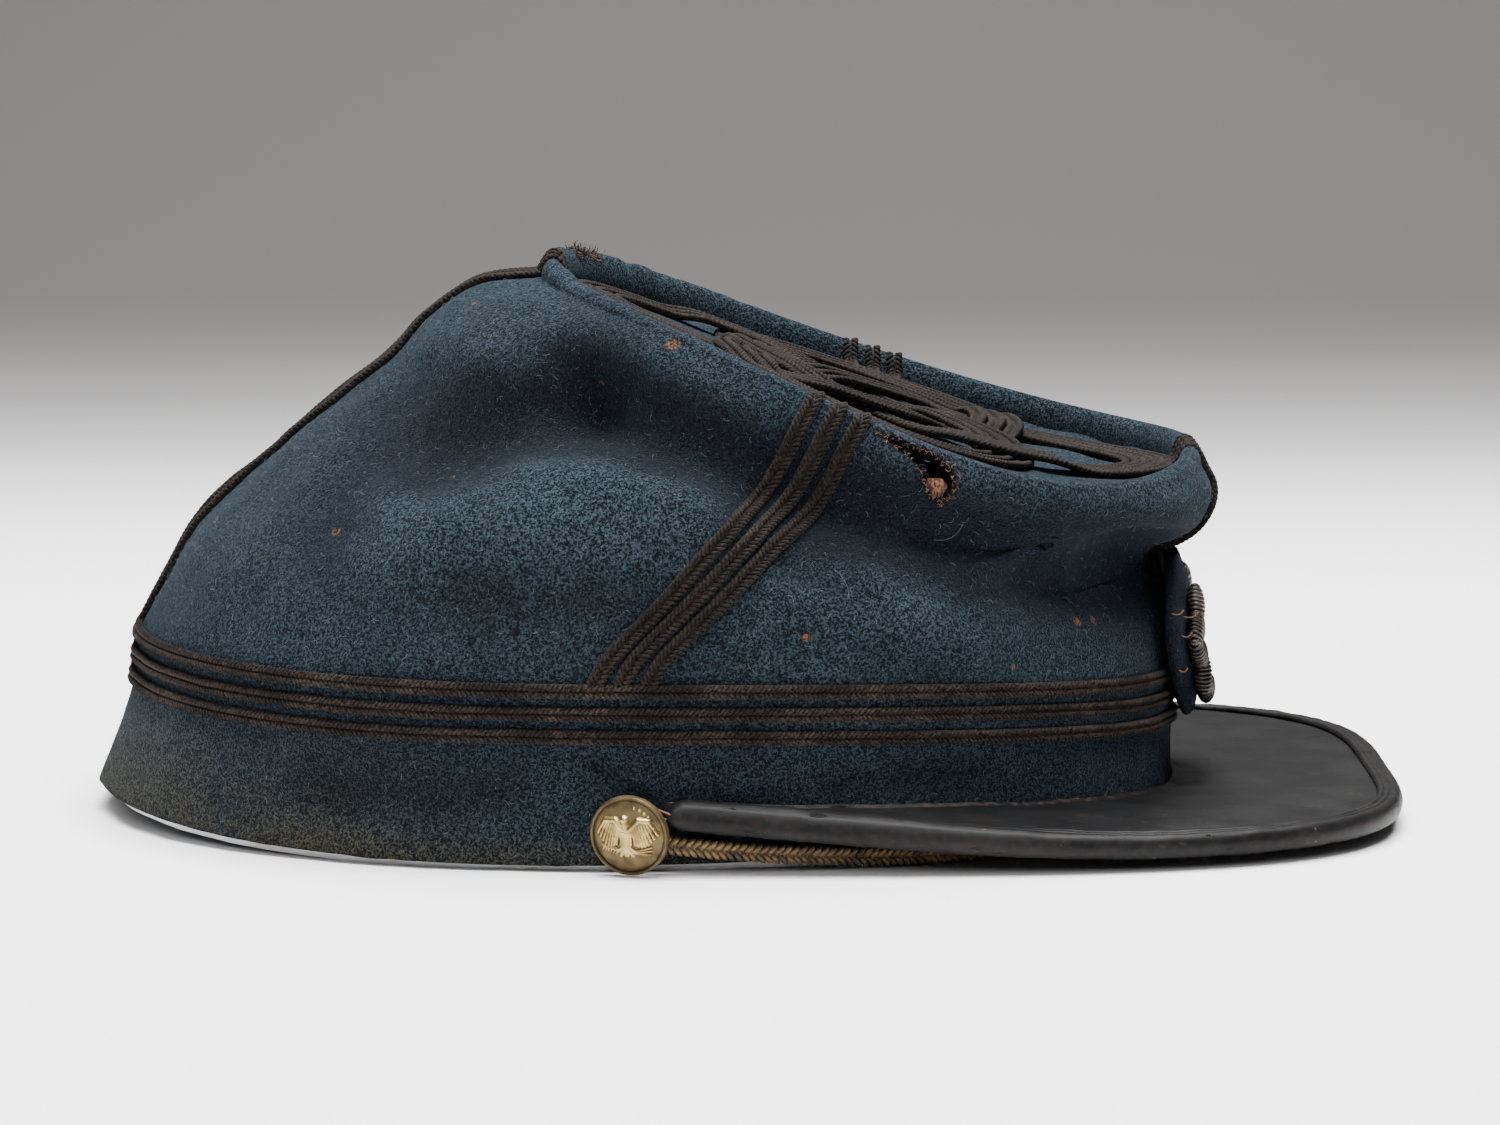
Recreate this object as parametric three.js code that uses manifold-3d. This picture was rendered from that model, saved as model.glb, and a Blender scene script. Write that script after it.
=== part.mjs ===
// A chasseur kepi: a soft wool cap with a tilted, sunken crown, a flat leather visor,
// black braid along its seams and a gilt chin cord between two side buttons.
// Millimetres. +X is the front of the cap, +Y the wearer's left and +Z up.
import * as THREE from "three";
import { mergeVertices } from "three/addons/utils/BufferGeometryUtils.js";
import Module from "manifold-3d";

const wasm = await Module();
wasm.setup();

// The rim, the seam above the band and the edge of the crown. Each is an oval
// that is given by its rearmost, widest and foremost points.
const RIM_LENGTH = 212;
const RIM_WIDTH = 166;
const RIM_REAR_RISE = 5.5;
const RIM_SIDE_RISE = 1.4;
const RIM_FRONT_RISE = 2.6;
const SEAM_REAR_INSET = 8.2;
const SEAM_SIDE_INSET = 2;
const SEAM_FRONT_INSET = 0.5;
const SEAM_REAR_RISE = 35;
const SEAM_SIDE_RISE = 33.5;
const SEAM_FRONT_RISE = 27;
const CROWN_LENGTH = 130;
const CROWN_WIDTH = 124;
const CROWN_FRONT_OVERHANG = 5.5;
const CROWN_WIDEST_FORWARD = 47;
const CROWN_REAR_RISE = 104;
const CROWN_SIDE_RISE = 79.8;
const CROWN_FRONT_RISE = 67;

// How far the side stretches of each oval sink ahead of the middle and rise behind it.
const RIM_SWAY = -3;
const SEAM_SWAY = -3.5;
const CROWN_SWAY_RIGHT = 9;
const CROWN_SWAY_LEFT = 2.5;
const OVAL_SQUARENESS = 2.15;

// Cloth, leather and the clearance between neighbouring pieces.
const WALL = 2;
const CLEARANCE = 0.3;
const FOLD_REACH = 10;
const ROLL_WIDTH = 4.6;
const ROLL_RISE_LEFT = 4.6;
const ROLL_RISE_RIGHT = 1;
const DISC_THICKNESS = 2;
const DISC_RECESS = 0.6;
const DISC_SAG = 1.6;
const SWEATBAND_THICKNESS = 1;
const SWEATBAND_SHOW = 1.6;
const SWEATBAND_SHOW_FRONT = 2.8;

// Flat braid: three rows round the band, three up each quarter and a knot on top.
const BRAID_WIDTH = 3.6;
const BRAID_THICKNESS = 1.4;
const BAND_ROW_PITCH = 4.3;
const QUARTER_PITCH = 4.8;
const KNOT_STRAND_WIDTH = 3;
const KNOT_THICKNESS = 1.2;
const KNOT_PITCH = 3.7;
const KNOT_END_MARGIN = 10;
const KNOT_SIDE_MARGIN = 13;
const KNOT_LENGTH = CROWN_LENGTH - 2 * KNOT_END_MARGIN;
const KNOT_WIDTH = CROWN_WIDTH - 2 * KNOT_SIDE_MARGIN;
const KNOT_LOOP_SHARE = 0.64;
const KNOT_FIRST_CROSSING = 25.7;
const KNOT_CROSSING_STEP = 12.9;
const KNOT_LIFT = 2.4;

// The visor, its rolled binding, the buttons, the chin cord and the front badge.
const VISOR_PROJECTION = 43.8;
const VISOR_END_OVERHANG = 6;
const VISOR_THICKNESS = 2;
const VISOR_CAMBER = 0.4;
const VISOR_BACK = -4;
const VISOR_SQUARENESS = 3.7;
const VISOR_END_DEGREES = 85.8;
const BINDING_WIDTH = 5;
const BINDING_LEATHER = 0.9;
const BUTTON_DIAMETER = 15;
const BUTTON_DOME = 2.6;
const BUTTON_RIM = 1.5;
const BUTTON_SHANK_DIAMETER = 2.6;
const BUTTON_SHANK_LENGTH = 4.4;
const BUTTON_FORWARD = 2;
const BUTTON_RISE = 8.3;
const BUTTON_RELIEF = 0.6;
const CORD_DIAMETER = 3;
const BADGE_WIDTH = 50;
const BADGE_HEIGHT = 33;
const BADGE_THICKNESS = 3.4;
const BADGE_RISE = 33.5;
const WREATH_HEIGHT = 23;
const WREATH_WIDTH = 38;
const WREATH_LEAVES = 12;
const WREATH_STEPS = 16;
const WREATH_FROM_DEGREES = -225;
const WREATH_TO_DEGREES = 45;
const LEAF_LENGTH = 7;
const LEAF_WIDTH = 4.2;
const LEAF_THICKNESS = 2.8;
const LEAF_SPLAY_DEGREES = 24;
const STEM_WIDTH = 1.8;
const TEAR_LENGTH = 13;
const TEAR_WIDTH = 4;
const TEAR_DEGREES = -80;
const TEAR_LEVEL = 0.95;
const TEAR_SLANT_DEGREES = -40;

// Facets round the cap, up its walls and along the braids.
const AROUND = 52;
const BAND_LEVELS = [-1, -0.8, -0.5, -0.25];
const LINING_LEVELS = [-1, -0.5, -0.25];
const CROWN_LEVELS = [0.1, 0.2, 0.3, 0.4, 0.5, 0.58, 0.66, 0.74, 0.82, 0.9, 1];
const KNOT_STEPS = 60;
const VISOR_STEPS = 34;
const CORD_STEPS = 32;
const CORD_SIDES = 6;

// Sections of the band from the rim, at 0, to the seam, at 1. Each column is a share
// of the inset from rim to seam at that place.
const BAND_ROWS = [
  { at: 0, rear: 0, side: 0, front: 0 },
  { at: 0.3, rear: 0.44, side: 0.7, front: 0.3 },
  { at: 0.65, rear: 0.85, side: 1.1, front: 0.7 },
  { at: 1, rear: 1, side: 1, front: 1 },
];

// Sections of the soft wall from the seam, at 0, to the crown's edge, at 1. The in and
// out columns are shares of the travel from seam to crown, the up columns of the rise.
const CROWN_ROWS = [
  { at: 0, rearIn: 0, rearUp: 0, sideIn: 0, sideUp: 0, forward: 0, frontOut: 0, frontUp: 0 },
  { at: 0.1, rearIn: 0.057, rearUp: 0.115, sideIn: 0, sideUp: 0.1, forward: 0.03, frontOut: -0.1, frontUp: 0.12 },
  { at: 0.2, rearIn: 0.126, rearUp: 0.265, sideIn: 0.02, sideUp: 0.2, forward: 0.1, frontOut: -0.2, frontUp: 0.25 },
  { at: 0.3, rearIn: 0.22, rearUp: 0.38, sideIn: 0.06, sideUp: 0.3, forward: 0.19, frontOut: -0.32, frontUp: 0.38 },
  { at: 0.4, rearIn: 0.325, rearUp: 0.485, sideIn: 0.13, sideUp: 0.4, forward: 0.29, frontOut: -0.5, frontUp: 0.5 },
  { at: 0.5, rearIn: 0.41, rearUp: 0.572, sideIn: 0.22, sideUp: 0.5, forward: 0.4, frontOut: -0.52, frontUp: 0.58 },
  { at: 0.6, rearIn: 0.54, rearUp: 0.685, sideIn: 0.34, sideUp: 0.6, forward: 0.52, frontOut: 0.25, frontUp: 0.64 },
  { at: 0.7, rearIn: 0.645, rearUp: 0.787, sideIn: 0.48, sideUp: 0.7, forward: 0.65, frontOut: 0.9, frontUp: 0.71 },
  { at: 0.8, rearIn: 0.725, rearUp: 0.888, sideIn: 0.64, sideUp: 0.8, forward: 0.78, frontOut: 1.25, frontUp: 0.8 },
  { at: 0.9, rearIn: 0.835, rearUp: 0.975, sideIn: 0.82, sideUp: 0.905, forward: 0.9, frontOut: 1.3, frontUp: 0.9 },
  { at: 1, rearIn: 1, rearUp: 1, sideIn: 1, sideUp: 1, forward: 1, frontOut: 1, frontUp: 1 },
];

// Folds and dents of the cloth, each along a line on one side of the cap. x is a share
// of half the rim's length, z of the crown's rear rise, width and depth of FOLD_REACH.
const FOLDS = [
  { side: -1, fromX: -0.36, fromZ: 0.73, toX: -0.08, toZ: 0.84, width: 0.85, depth: -0.7 },
  { side: -1, fromX: -0.08, fromZ: 0.84, toX: 0.22, toZ: 0.7, width: 0.8, depth: -0.7 },
  { side: -1, fromX: -0.36, fromZ: 0.61, toX: 0.1, toZ: 0.63, width: 1, depth: 0.26 },
  { side: -1, fromX: -0.42, fromZ: 0.82, toX: -0.52, toZ: 0.6, width: 0.6, depth: -0.22 },
  { side: -1, fromX: -0.28, fromZ: 0.48, toX: 0.02, toZ: 0.47, width: 0.7, depth: -0.18 },
  { side: -1, fromX: 0.36, fromZ: 0.64, toX: 0.92, toZ: 0.49, width: 1, depth: -0.85 },
  { side: -1, fromX: 0.34, fromZ: 0.6, toX: 0.5, toZ: 0.45, width: 0.6, depth: 0.16 },
  { side: -1, fromX: -0.53, fromZ: 0.13, toX: -0.23, toZ: 0.14, width: 0.5, depth: -0.16 },
  { side: -1, fromX: 0.35, fromZ: 0.15, toX: 0.6, toZ: 0.15, width: 0.45, depth: -0.1 },
  { side: 1, fromX: -0.4, fromZ: 0.7, toX: 0.1, toZ: 0.75, width: 1, depth: -0.4 },
  { side: 1, fromX: 0.4, fromZ: 0.62, toX: 0.92, toZ: 0.49, width: 1, depth: -0.48 },
  { side: 1, fromX: -0.6, fromZ: 0.74, toX: -0.46, toZ: 0.86, width: 0.7, depth: 0.34 },
  { side: 1, fromX: -0.3, fromZ: 0.5, toX: 0.2, toZ: 0.48, width: 0.9, depth: 0.18 },
];

// The heights of the visor's upper face along the band and along its outer edge, by the
// degrees from the front.
const VISOR_ROWS = [
  { at: 0, root: 5.6, edge: 5.4 },
  { at: 20, root: 6, edge: 5.6 },
  { at: 40, root: 7.6, edge: 5.6 },
  { at: 55, root: 9.4, edge: 5.4 },
  { at: 65, root: 10.6, edge: 6.6 },
  { at: 75, root: 11.6, edge: 8.8 },
  { at: 85, root: 12.6, edge: 11.4 },
  { at: 90, root: 13, edge: 12.8 },
];

// The chin cord's route from the right button to the front: degrees from the front,
// the gap to the rim and the height of its centre. The left half mirrors it.
const CORD_ROUTE = [
  { degrees: 87.6, gap: 0.5, z: 6 },
  { degrees: 84, gap: 0.6, z: 5.2 },
  { degrees: 79, gap: 0.6, z: 4.1 },
  { degrees: 72, gap: 0.6, z: 3 },
  { degrees: 63, gap: 0.8, z: 2 },
  { degrees: 54, gap: 1, z: 1.6 },
  { degrees: 44, gap: 1.4, z: 1.6 },
  { degrees: 33, gap: 2, z: 1.6 },
  { degrees: 22, gap: 3, z: 1.6 },
  { degrees: 11, gap: 4, z: 1.6 },
  { degrees: 0, gap: 4.4, z: 1.6 },
];

const cloth = new THREE.MeshStandardMaterial({ color: 0x24323e, roughness: 0.95, metalness: 0 });
const braidWool = new THREE.MeshStandardMaterial({ color: 0x2b2623, roughness: 0.85, metalness: 0 });
const patentLeather = new THREE.MeshStandardMaterial({ color: 0x121213, roughness: 0.25, metalness: 0 });
const paleLeather = new THREE.MeshStandardMaterial({ color: 0xb4b3b6, roughness: 0.7, metalness: 0 });
const gilt = new THREE.MeshStandardMaterial({ color: 0xa08a4a, roughness: 0.4, metalness: 1 });
const giltCord = new THREE.MeshStandardMaterial({ color: 0x8a6c3a, roughness: 0.7, metalness: 0.3 });
const bullion = new THREE.MeshStandardMaterial({ color: 0x26231f, roughness: 0.5, metalness: 0.2 });

const radians = THREE.MathUtils.degToRad;
const lerp = THREE.MathUtils.lerp;
const smooth = THREE.MathUtils.smoothstep;
const point = (x, y, z) => new THREE.Vector3(x, y, z);
const ROLL_TURNS = [45, 90, 135, 180].map(radians);

// One column of a table of sections at a place between its rows, on a smooth curve.
function column(rows, name, at) {
  let i = 0;
  while (i < rows.length - 2 && at > rows[i + 1].at) i += 1;
  const slope = (k) => {
    const before = rows[Math.max(k - 1, 0)];
    const after = rows[Math.min(k + 1, rows.length - 1)];
    return (after[name] - before[name]) / (after.at - before.at);
  };
  const span = rows[i + 1].at - rows[i].at;
  const s = (at - rows[i].at) / span;
  const rise = s * s * (3 - 2 * s);
  const bend = span * (slope(i) * s * (1 - s) ** 2 - slope(i + 1) * s * s * (1 - s));
  return lerp(rows[i][name], rows[i + 1][name], rise) + bend;
}

// The unit oval at an angle from the front, counted towards the wearer's left.
function oval(angle, squareness = OVAL_SQUARENESS) {
  const c = Math.cos(angle);
  const s = Math.sin(angle);
  const size = (Math.abs(c) ** squareness + Math.abs(s) ** squareness) ** (1 / squareness);
  return { c: c / size, s: s / size };
}

const rim = {
  rearX: -RIM_LENGTH / 2,
  frontX: RIM_LENGTH / 2,
  sideX: 0,
  sideY: RIM_WIDTH / 2,
  rearZ: RIM_REAR_RISE,
  sideZ: RIM_SIDE_RISE,
  frontZ: RIM_FRONT_RISE,
  swayRight: RIM_SWAY,
  swayLeft: RIM_SWAY,
};
const seam = {
  rearX: rim.rearX + SEAM_REAR_INSET,
  frontX: rim.frontX - SEAM_FRONT_INSET,
  sideX: 0,
  sideY: rim.sideY - SEAM_SIDE_INSET,
  rearZ: SEAM_REAR_RISE,
  sideZ: SEAM_SIDE_RISE,
  frontZ: SEAM_FRONT_RISE,
  swayRight: SEAM_SWAY,
  swayLeft: SEAM_SWAY,
};
const crown = {
  rearX: rim.frontX + CROWN_FRONT_OVERHANG - CROWN_LENGTH,
  frontX: rim.frontX + CROWN_FRONT_OVERHANG,
  sideX: CROWN_WIDEST_FORWARD,
  sideY: CROWN_WIDTH / 2,
  rearZ: CROWN_REAR_RISE,
  sideZ: CROWN_SIDE_RISE,
  frontZ: CROWN_FRONT_RISE,
  swayRight: CROWN_SWAY_RIGHT,
  swayLeft: CROWN_SWAY_LEFT,
};

// The height of a ring's surface where the oval's shares are c forwards and s leftwards.
function heightOf(ring, c, s) {
  const tilt = (ring.frontZ - ring.rearZ) / 2;
  const dish = (ring.frontZ + ring.rearZ) / 2 - ring.sideZ;
  const sway = lerp(ring.swayRight, ring.swayLeft, (s + 1) / 2);
  return ring.sideZ + tilt * c + dish * c * c + sway * (c ** 3 - c);
}

function onRing(ring, angle) {
  const { c, s } = oval(angle);
  const reach = c > 0 ? ring.frontX - ring.sideX : ring.sideX - ring.rearX;
  return point(ring.sideX + reach * c, ring.sideY * s, heightOf(ring, c, s));
}

function bandRing(t) {
  return {
    rearX: lerp(rim.rearX, seam.rearX, column(BAND_ROWS, "rear", t)),
    frontX: lerp(rim.frontX, seam.frontX, column(BAND_ROWS, "front", t)),
    sideX: 0,
    sideY: lerp(rim.sideY, seam.sideY, column(BAND_ROWS, "side", t)),
    rearZ: lerp(rim.rearZ, seam.rearZ, t),
    sideZ: lerp(rim.sideZ, seam.sideZ, t),
    frontZ: lerp(rim.frontZ, seam.frontZ, t),
    swayRight: lerp(rim.swayRight, seam.swayRight, t),
    swayLeft: lerp(rim.swayLeft, seam.swayLeft, t),
  };
}

function crownRing(t) {
  const share = (name) => column(CROWN_ROWS, name, t);
  return {
    rearX: lerp(seam.rearX, crown.rearX, share("rearIn")),
    frontX: lerp(seam.frontX, crown.frontX, share("frontOut")),
    sideX: lerp(seam.sideX, crown.sideX, share("forward")),
    sideY: lerp(seam.sideY, crown.sideY, share("sideIn")),
    rearZ: lerp(seam.rearZ, crown.rearZ, share("rearUp")),
    sideZ: lerp(seam.sideZ, crown.sideZ, share("sideUp")),
    frontZ: lerp(seam.frontZ, crown.frontZ, share("frontUp")),
    swayRight: lerp(seam.swayRight, crown.swayRight, share("sideUp")),
    swayLeft: lerp(seam.swayLeft, crown.swayLeft, share("sideUp")),
  };
}

// The smooth cloth without its folds: t runs from -1 at the rim over 0 at the seam to 1.
function plainWall(angle, t) {
  return onRing(t < 0 ? bandRing(t + 1) : crownRing(t), angle);
}

function normalOf(surface, angle, t, top = 1) {
  const step = 0.004;
  const along = surface(angle + step, t).sub(surface(angle - step, t));
  const low = Math.max(t - step, -1);
  const up = surface(angle, Math.min(low + 2 * step, top)).sub(surface(angle, Math.min(low, top - 2 * step)));
  return along.cross(up).normalize();
}

// How far the folds push the cloth out at a point of the plain wall.
function foldDepth(at, angle, t) {
  const side = Math.sin(angle);
  const edges = t < 0 ? smooth(-t, 0, 0.2) : smooth(t, 0, 0.14) * smooth(1 - t, 0, 0.14);
  let depth = 0;
  for (const fold of FOLDS) {
    if (fold.side * side <= 0) continue;
    const from = new THREE.Vector2(fold.fromX * rim.frontX, fold.fromZ * CROWN_REAR_RISE);
    const to = new THREE.Vector2(fold.toX * rim.frontX, fold.toZ * CROWN_REAR_RISE);
    const here = new THREE.Vector2(at.x, at.z);
    const line = to.clone().sub(from);
    const share = THREE.MathUtils.clamp(here.clone().sub(from).dot(line) / line.lengthSq(), 0, 1);
    const away = here.distanceTo(from.addScaledVector(line, share)) / (fold.width * FOLD_REACH);
    depth += fold.depth * FOLD_REACH * Math.exp(-away * away);
  }
  return depth * edges * smooth(Math.abs(side), 0, 0.4);
}

function wall(angle, t) {
  const at = plainWall(angle, t);
  const depth = foldDepth(at, angle, t);
  return at.addScaledVector(normalOf(plainWall, angle, t), depth);
}

// A point held off the cloth's outer face, or inside it where the distance is negative.
function offWall(angle, t, distance) {
  return wall(angle, t).addScaledVector(normalOf(wall, angle, t), distance);
}

// The crown's rolled edge stands higher on the left, where it hasn't been flattened.
function rollRise(angle) {
  return lerp(ROLL_RISE_RIGHT, ROLL_RISE_LEFT, smooth(oval(angle).s, -1, 0.3));
}

function rollPoint(angle, turn) {
  const across = (ROLL_WIDTH / 2) * (1 - Math.cos(turn));
  const at = onRing(crown, angle).addScaledVector(inwardsOf(angle), across);
  return at.setZ(at.z + rollRise(angle) * Math.sin(turn));
}

function rollNormal(angle, turn) {
  const normal = inwardsOf(angle).multiplyScalar(-Math.cos(turn) / (ROLL_WIDTH / 2));
  return normal.setZ(Math.sin(turn) / rollRise(angle)).normalize();
}

function inwardsOf(angle) {
  const step = 0.01;
  const along = onRing(crown, angle + step).sub(onRing(crown, angle - step));
  return point(-along.y, along.x, 0).normalize();
}

// The upper face of the crown's disc over a point of the plan.
function discHeight(x, y) {
  const reach = x > crown.sideX ? crown.frontX - crown.sideX : crown.sideX - crown.rearX;
  const c = (x - crown.sideX) / reach;
  const s = y / crown.sideY;
  return heightOf(crown, c, s) - DISC_RECESS - DISC_SAG * Math.max(0, 1 - c * c - s * s);
}

// The triangles of a flat ring of points, which run the same way round as the ring.
function capFaces(ring) {
  const normal = point(0, 0, 0);
  ring.forEach((p, i) => normal.add(p.clone().cross(ring[(i + 1) % ring.length])));
  normal.normalize();
  const along = ring[1].clone().sub(ring[0]).projectOnPlane(normal).normalize();
  const aside = normal.clone().cross(along);
  const flat = ring.map((p) => new THREE.Vector2(p.dot(along), p.dot(aside)));
  const turned = ([i, j, k]) => THREE.ShapeUtils.isClockWise([flat[i], flat[j], flat[k]]);
  return THREE.ShapeUtils.triangulateShape(flat, []).map((face) => (turned(face) ? face.reverse() : face));
}

// A closed solid through rings of points. It is closed along its length, or capped.
function loft(rings, closed) {
  const across = rings[0].length;
  const faces = [];
  const stretches = closed ? rings.length : rings.length - 1;
  for (let i = 0; i < stretches; i += 1) {
    const next = (i + 1) % rings.length;
    for (let j = 0; j < across; j += 1) {
      const beside = (j + 1) % across;
      const [a, b] = [i * across + j, i * across + beside];
      const [c, d] = [next * across + beside, next * across + j];
      faces.push(a, b, c, a, c, d);
    }
  }
  if (!closed) {
    const last = (rings.length - 1) * across;
    for (const [i, j, k] of capFaces(rings[0])) faces.push(k, j, i);
    for (const [i, j, k] of capFaces(rings[rings.length - 1])) faces.push(last + i, last + j, last + k);
  }
  return facingOut(new THREE.BufferGeometry().setFromPoints(rings.flat()).setIndex(faces));
}

// Turns the faces round where they enclose a negative volume.
function facingOut(geometry) {
  const at = geometry.getAttribute("position");
  const faces = geometry.getIndex().array;
  const [a, b, c] = [point(), point(), point()];
  let volume = 0;
  for (let i = 0; i < faces.length; i += 3) {
    a.fromBufferAttribute(at, faces[i]);
    b.fromBufferAttribute(at, faces[i + 1]);
    c.fromBufferAttribute(at, faces[i + 2]);
    volume += a.dot(b.cross(c));
  }
  if (volume < 0) {
    for (let i = 0; i < faces.length; i += 3) [faces[i], faces[i + 1]] = [faces[i + 1], faces[i]];
  }
  return geometry;
}

function toSolid(geometry) {
  const bare = geometry.index ? geometry.toNonIndexed() : geometry.clone();
  for (const name of Object.keys(bare.attributes)) if (name !== "position") bare.deleteAttribute(name);
  const merged = mergeVertices(bare, 1e-3);
  const mesh = new wasm.Mesh({
    numProp: 3,
    vertProperties: merged.attributes.position.array,
    triVerts: new Uint32Array(merged.index.array),
  });
  return new wasm.Manifold(mesh);
}

function toGeometry(solid) {
  const mesh = solid.getMesh();
  const geometry = new THREE.BufferGeometry();
  geometry.setAttribute("position", new THREE.BufferAttribute(new Float32Array(mesh.vertProperties), 3));
  return geometry.setIndex(new THREE.BufferAttribute(new Uint32Array(mesh.triVerts), 1));
}

function joined(geometries) {
  return toGeometry(geometries.map(toSolid).reduce((sum, next) => sum.add(next)));
}

const kepi = new THREE.Group();
kepi.position.x = -VISOR_PROJECTION / 2;

function add(name, geometry, material, parent = kepi) {
  const mesh = new THREE.Mesh(geometry, material);
  mesh.name = name;
  parent.add(mesh);
  return mesh;
}

const angles = Array.from({ length: AROUND }, (_, i) => (i / AROUND) * 2 * Math.PI);

// The share of the band's height that a length takes at an angle.
function bandShare(angle, length) {
  return length / (onRing(seam, angle).z - onRing(rim, angle).z);
}

// The cloth's inner face where the band meets the crown, and a height above that.
function seamLining(angle, lift) {
  const inwards = normalOf(wall, angle, 0).setZ(0).normalize().negate();
  const p = wall(angle, 0).addScaledVector(inwards, WALL);
  p.z += lift;
  return p;
}

function bandGeometry() {
  const sections = angles.map((angle) => {
    const top = wall(angle, 0);
    top.z -= CLEARANCE / 2;
    const face = BAND_LEVELS.map((t) => wall(angle, t));
    const lining = [...LINING_LEVELS].reverse().map((t) => offWall(angle, t, -WALL));
    return [...face, top, seamLining(angle, -CLEARANCE / 2), ...lining];
  });
  return loft(sections, true);
}

function crownSideGeometry() {
  const inner = [0.84, 0.68, 0.52, 0.36, 0.2];
  const sections = angles.map((angle) => {
    const foot = wall(angle, 0);
    foot.z += CLEARANCE / 2;
    const face = CROWN_LEVELS.map((t) => wall(angle, t));
    const roll = ROLL_TURNS.map((turn) => rollPoint(angle, turn));
    const lip = roll[roll.length - 1].clone();
    lip.z -= DISC_RECESS + DISC_THICKNESS + CLEARANCE;
    const lining = inner.map((t) => offWall(angle, t, -WALL));
    return [foot, ...face, ...roll, lip, ...lining, seamLining(angle, CLEARANCE / 2)];
  });
  return loft(sections, true);
}

// The lens-shaped tear below the crown's right edge, cut straight through the cloth.
function tearCutter() {
  const angle = radians(TEAR_DEGREES);
  const t = TEAR_LEVEL;
  const lens = new THREE.Shape();
  lens.moveTo(-TEAR_LENGTH / 2, 0);
  lens.quadraticCurveTo(0, TEAR_WIDTH, TEAR_LENGTH / 2, 0);
  lens.quadraticCurveTo(0, -TEAR_WIDTH, -TEAR_LENGTH / 2, 0);
  const depth = 6 * WALL;
  const cutter = new THREE.ExtrudeGeometry(lens, { depth, bevelEnabled: false, curveSegments: 3 });
  cutter.translate(0, 0, -depth / 2);
  cutter.rotateZ(radians(TEAR_SLANT_DEGREES));
  const normal = normalOf(wall, angle, t);
  const place = new THREE.Matrix4().lookAt(normal, point(0, 0, 0), point(0, 0, 1));
  place.setPosition(wall(angle, t));
  return cutter.applyMatrix4(place);
}

function discGeometry() {
  const inset = ROLL_WIDTH + CLEARANCE;
  const edge = angles.map((angle) => onRing(crown, angle).addScaledVector(inwardsOf(angle), inset));
  const centre = point((crown.frontX + crown.rearX) / 2, 0, 0);
  const ring = (share, drop) =>
    edge.map((p) => {
      const x = lerp(centre.x, p.x, share);
      const y = lerp(centre.y, p.y, share);
      return point(x, y, discHeight(x, y) - drop);
    });
  const upper = [0.2, 0.4, 0.6, 0.8, 1].map((share) => ring(share, 0));
  const lower = [1, 0.5].map((share) => ring(share, DISC_THICKNESS));
  return loft([...upper, ...lower], false);
}

function sweatbandGeometry() {
  const outside = WALL + 2 * CLEARANCE;
  const inside = outside + SWEATBAND_THICKNESS;
  const sections = angles.map((angle) => {
    const show = lerp(SWEATBAND_SHOW, SWEATBAND_SHOW_FRONT, smooth(oval(angle).c, 0.2, 0.7));
    const foot = (inset) => {
      const p = offWall(angle, LINING_LEVELS[0], -inset);
      return p.setZ(Math.max(0, onRing(rim, angle).z - show));
    };
    const rows = LINING_LEVELS.slice(1);
    const outer = rows.map((t) => offWall(angle, t, -outside));
    const inner = [...rows].reverse().map((t) => offWall(angle, t, -inside));
    return [foot(outside), ...outer, ...inner, foot(inside)];
  });
  return loft(sections, true);
}

// A flat braid's section at a place of its path: broad below and narrower above.
function braidSection(base, aside, outwards, width = BRAID_WIDTH, thickness = BRAID_THICKNESS) {
  const crest = 0.62;
  return [[-0.5, 0], [0.5, 0], [0.5 * crest, 1], [-0.5 * crest, 1]].map(([across, up]) =>
    base.clone().addScaledVector(aside, across * width).addScaledVector(outwards, up * thickness),
  );
}

// A row of braid round the cap, a number of pitches below the seam.
function bandBraid(row) {
  const sections = angles.map((angle) => {
    const t = -bandShare(angle, row * BAND_ROW_PITCH);
    const reach = bandShare(angle, BRAID_WIDTH / 2);
    const outwards = normalOf(wall, angle, t);
    const up = wall(angle, t + reach).sub(wall(angle, t - reach)).normalize();
    return braidSection(offWall(angle, t, CLEARANCE), up, outwards);
  });
  return loft(sections, true);
}

// A point on the faceted wall, between the angles where the wall has its sections.
function onFacets(angle, t) {
  const place = (angle / (2 * Math.PI)) * AROUND;
  const before = (Math.floor(place) / AROUND) * 2 * Math.PI;
  return wall(before, t).lerp(wall(before + (2 * Math.PI) / AROUND, t), place - Math.floor(place));
}

// A braid up one quarter of the cap, beside that quarter's middle line, which leans
// from its angle at the seam to another at the crown. It runs on over the rolled edge.
function quarterBraid({ low, high, bow }, strand) {
  const aside = (surface, angle) => {
    const reach = surface(angle + 0.01).distanceTo(surface(angle - 0.01));
    return angle + (strand * QUARTER_PITCH * 0.02) / reach;
  };
  const section = (surface, angle, outwards) => {
    const along = surface(angle + 0.01).sub(surface(angle - 0.01)).normalize();
    return braidSection(surface(angle).addScaledVector(outwards, 2 * CLEARANCE), along, outwards);
  };
  const foot = (BRAID_WIDTH / 2 + 2 * CLEARANCE) / (crown.sideZ - seam.sideZ);
  const onCloth = [foot, ...CROWN_LEVELS].map((t) => {
    const middle = radians(lerp(low, high, t) + bow * Math.sin(Math.PI * t));
    const angle = aside((a) => wall(a, t), middle);
    return section((a) => onFacets(a, t), angle, normalOf(wall, angle, t));
  });
  const overRoll = ROLL_TURNS.slice(0, -1).map((turn) => {
    const angle = aside((a) => rollPoint(a, turn), radians(high));
    return section((a) => rollPoint(a, turn), angle, rollNormal(angle, turn));
  });
  return loft([...onCloth, ...overRoll], false);
}

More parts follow.
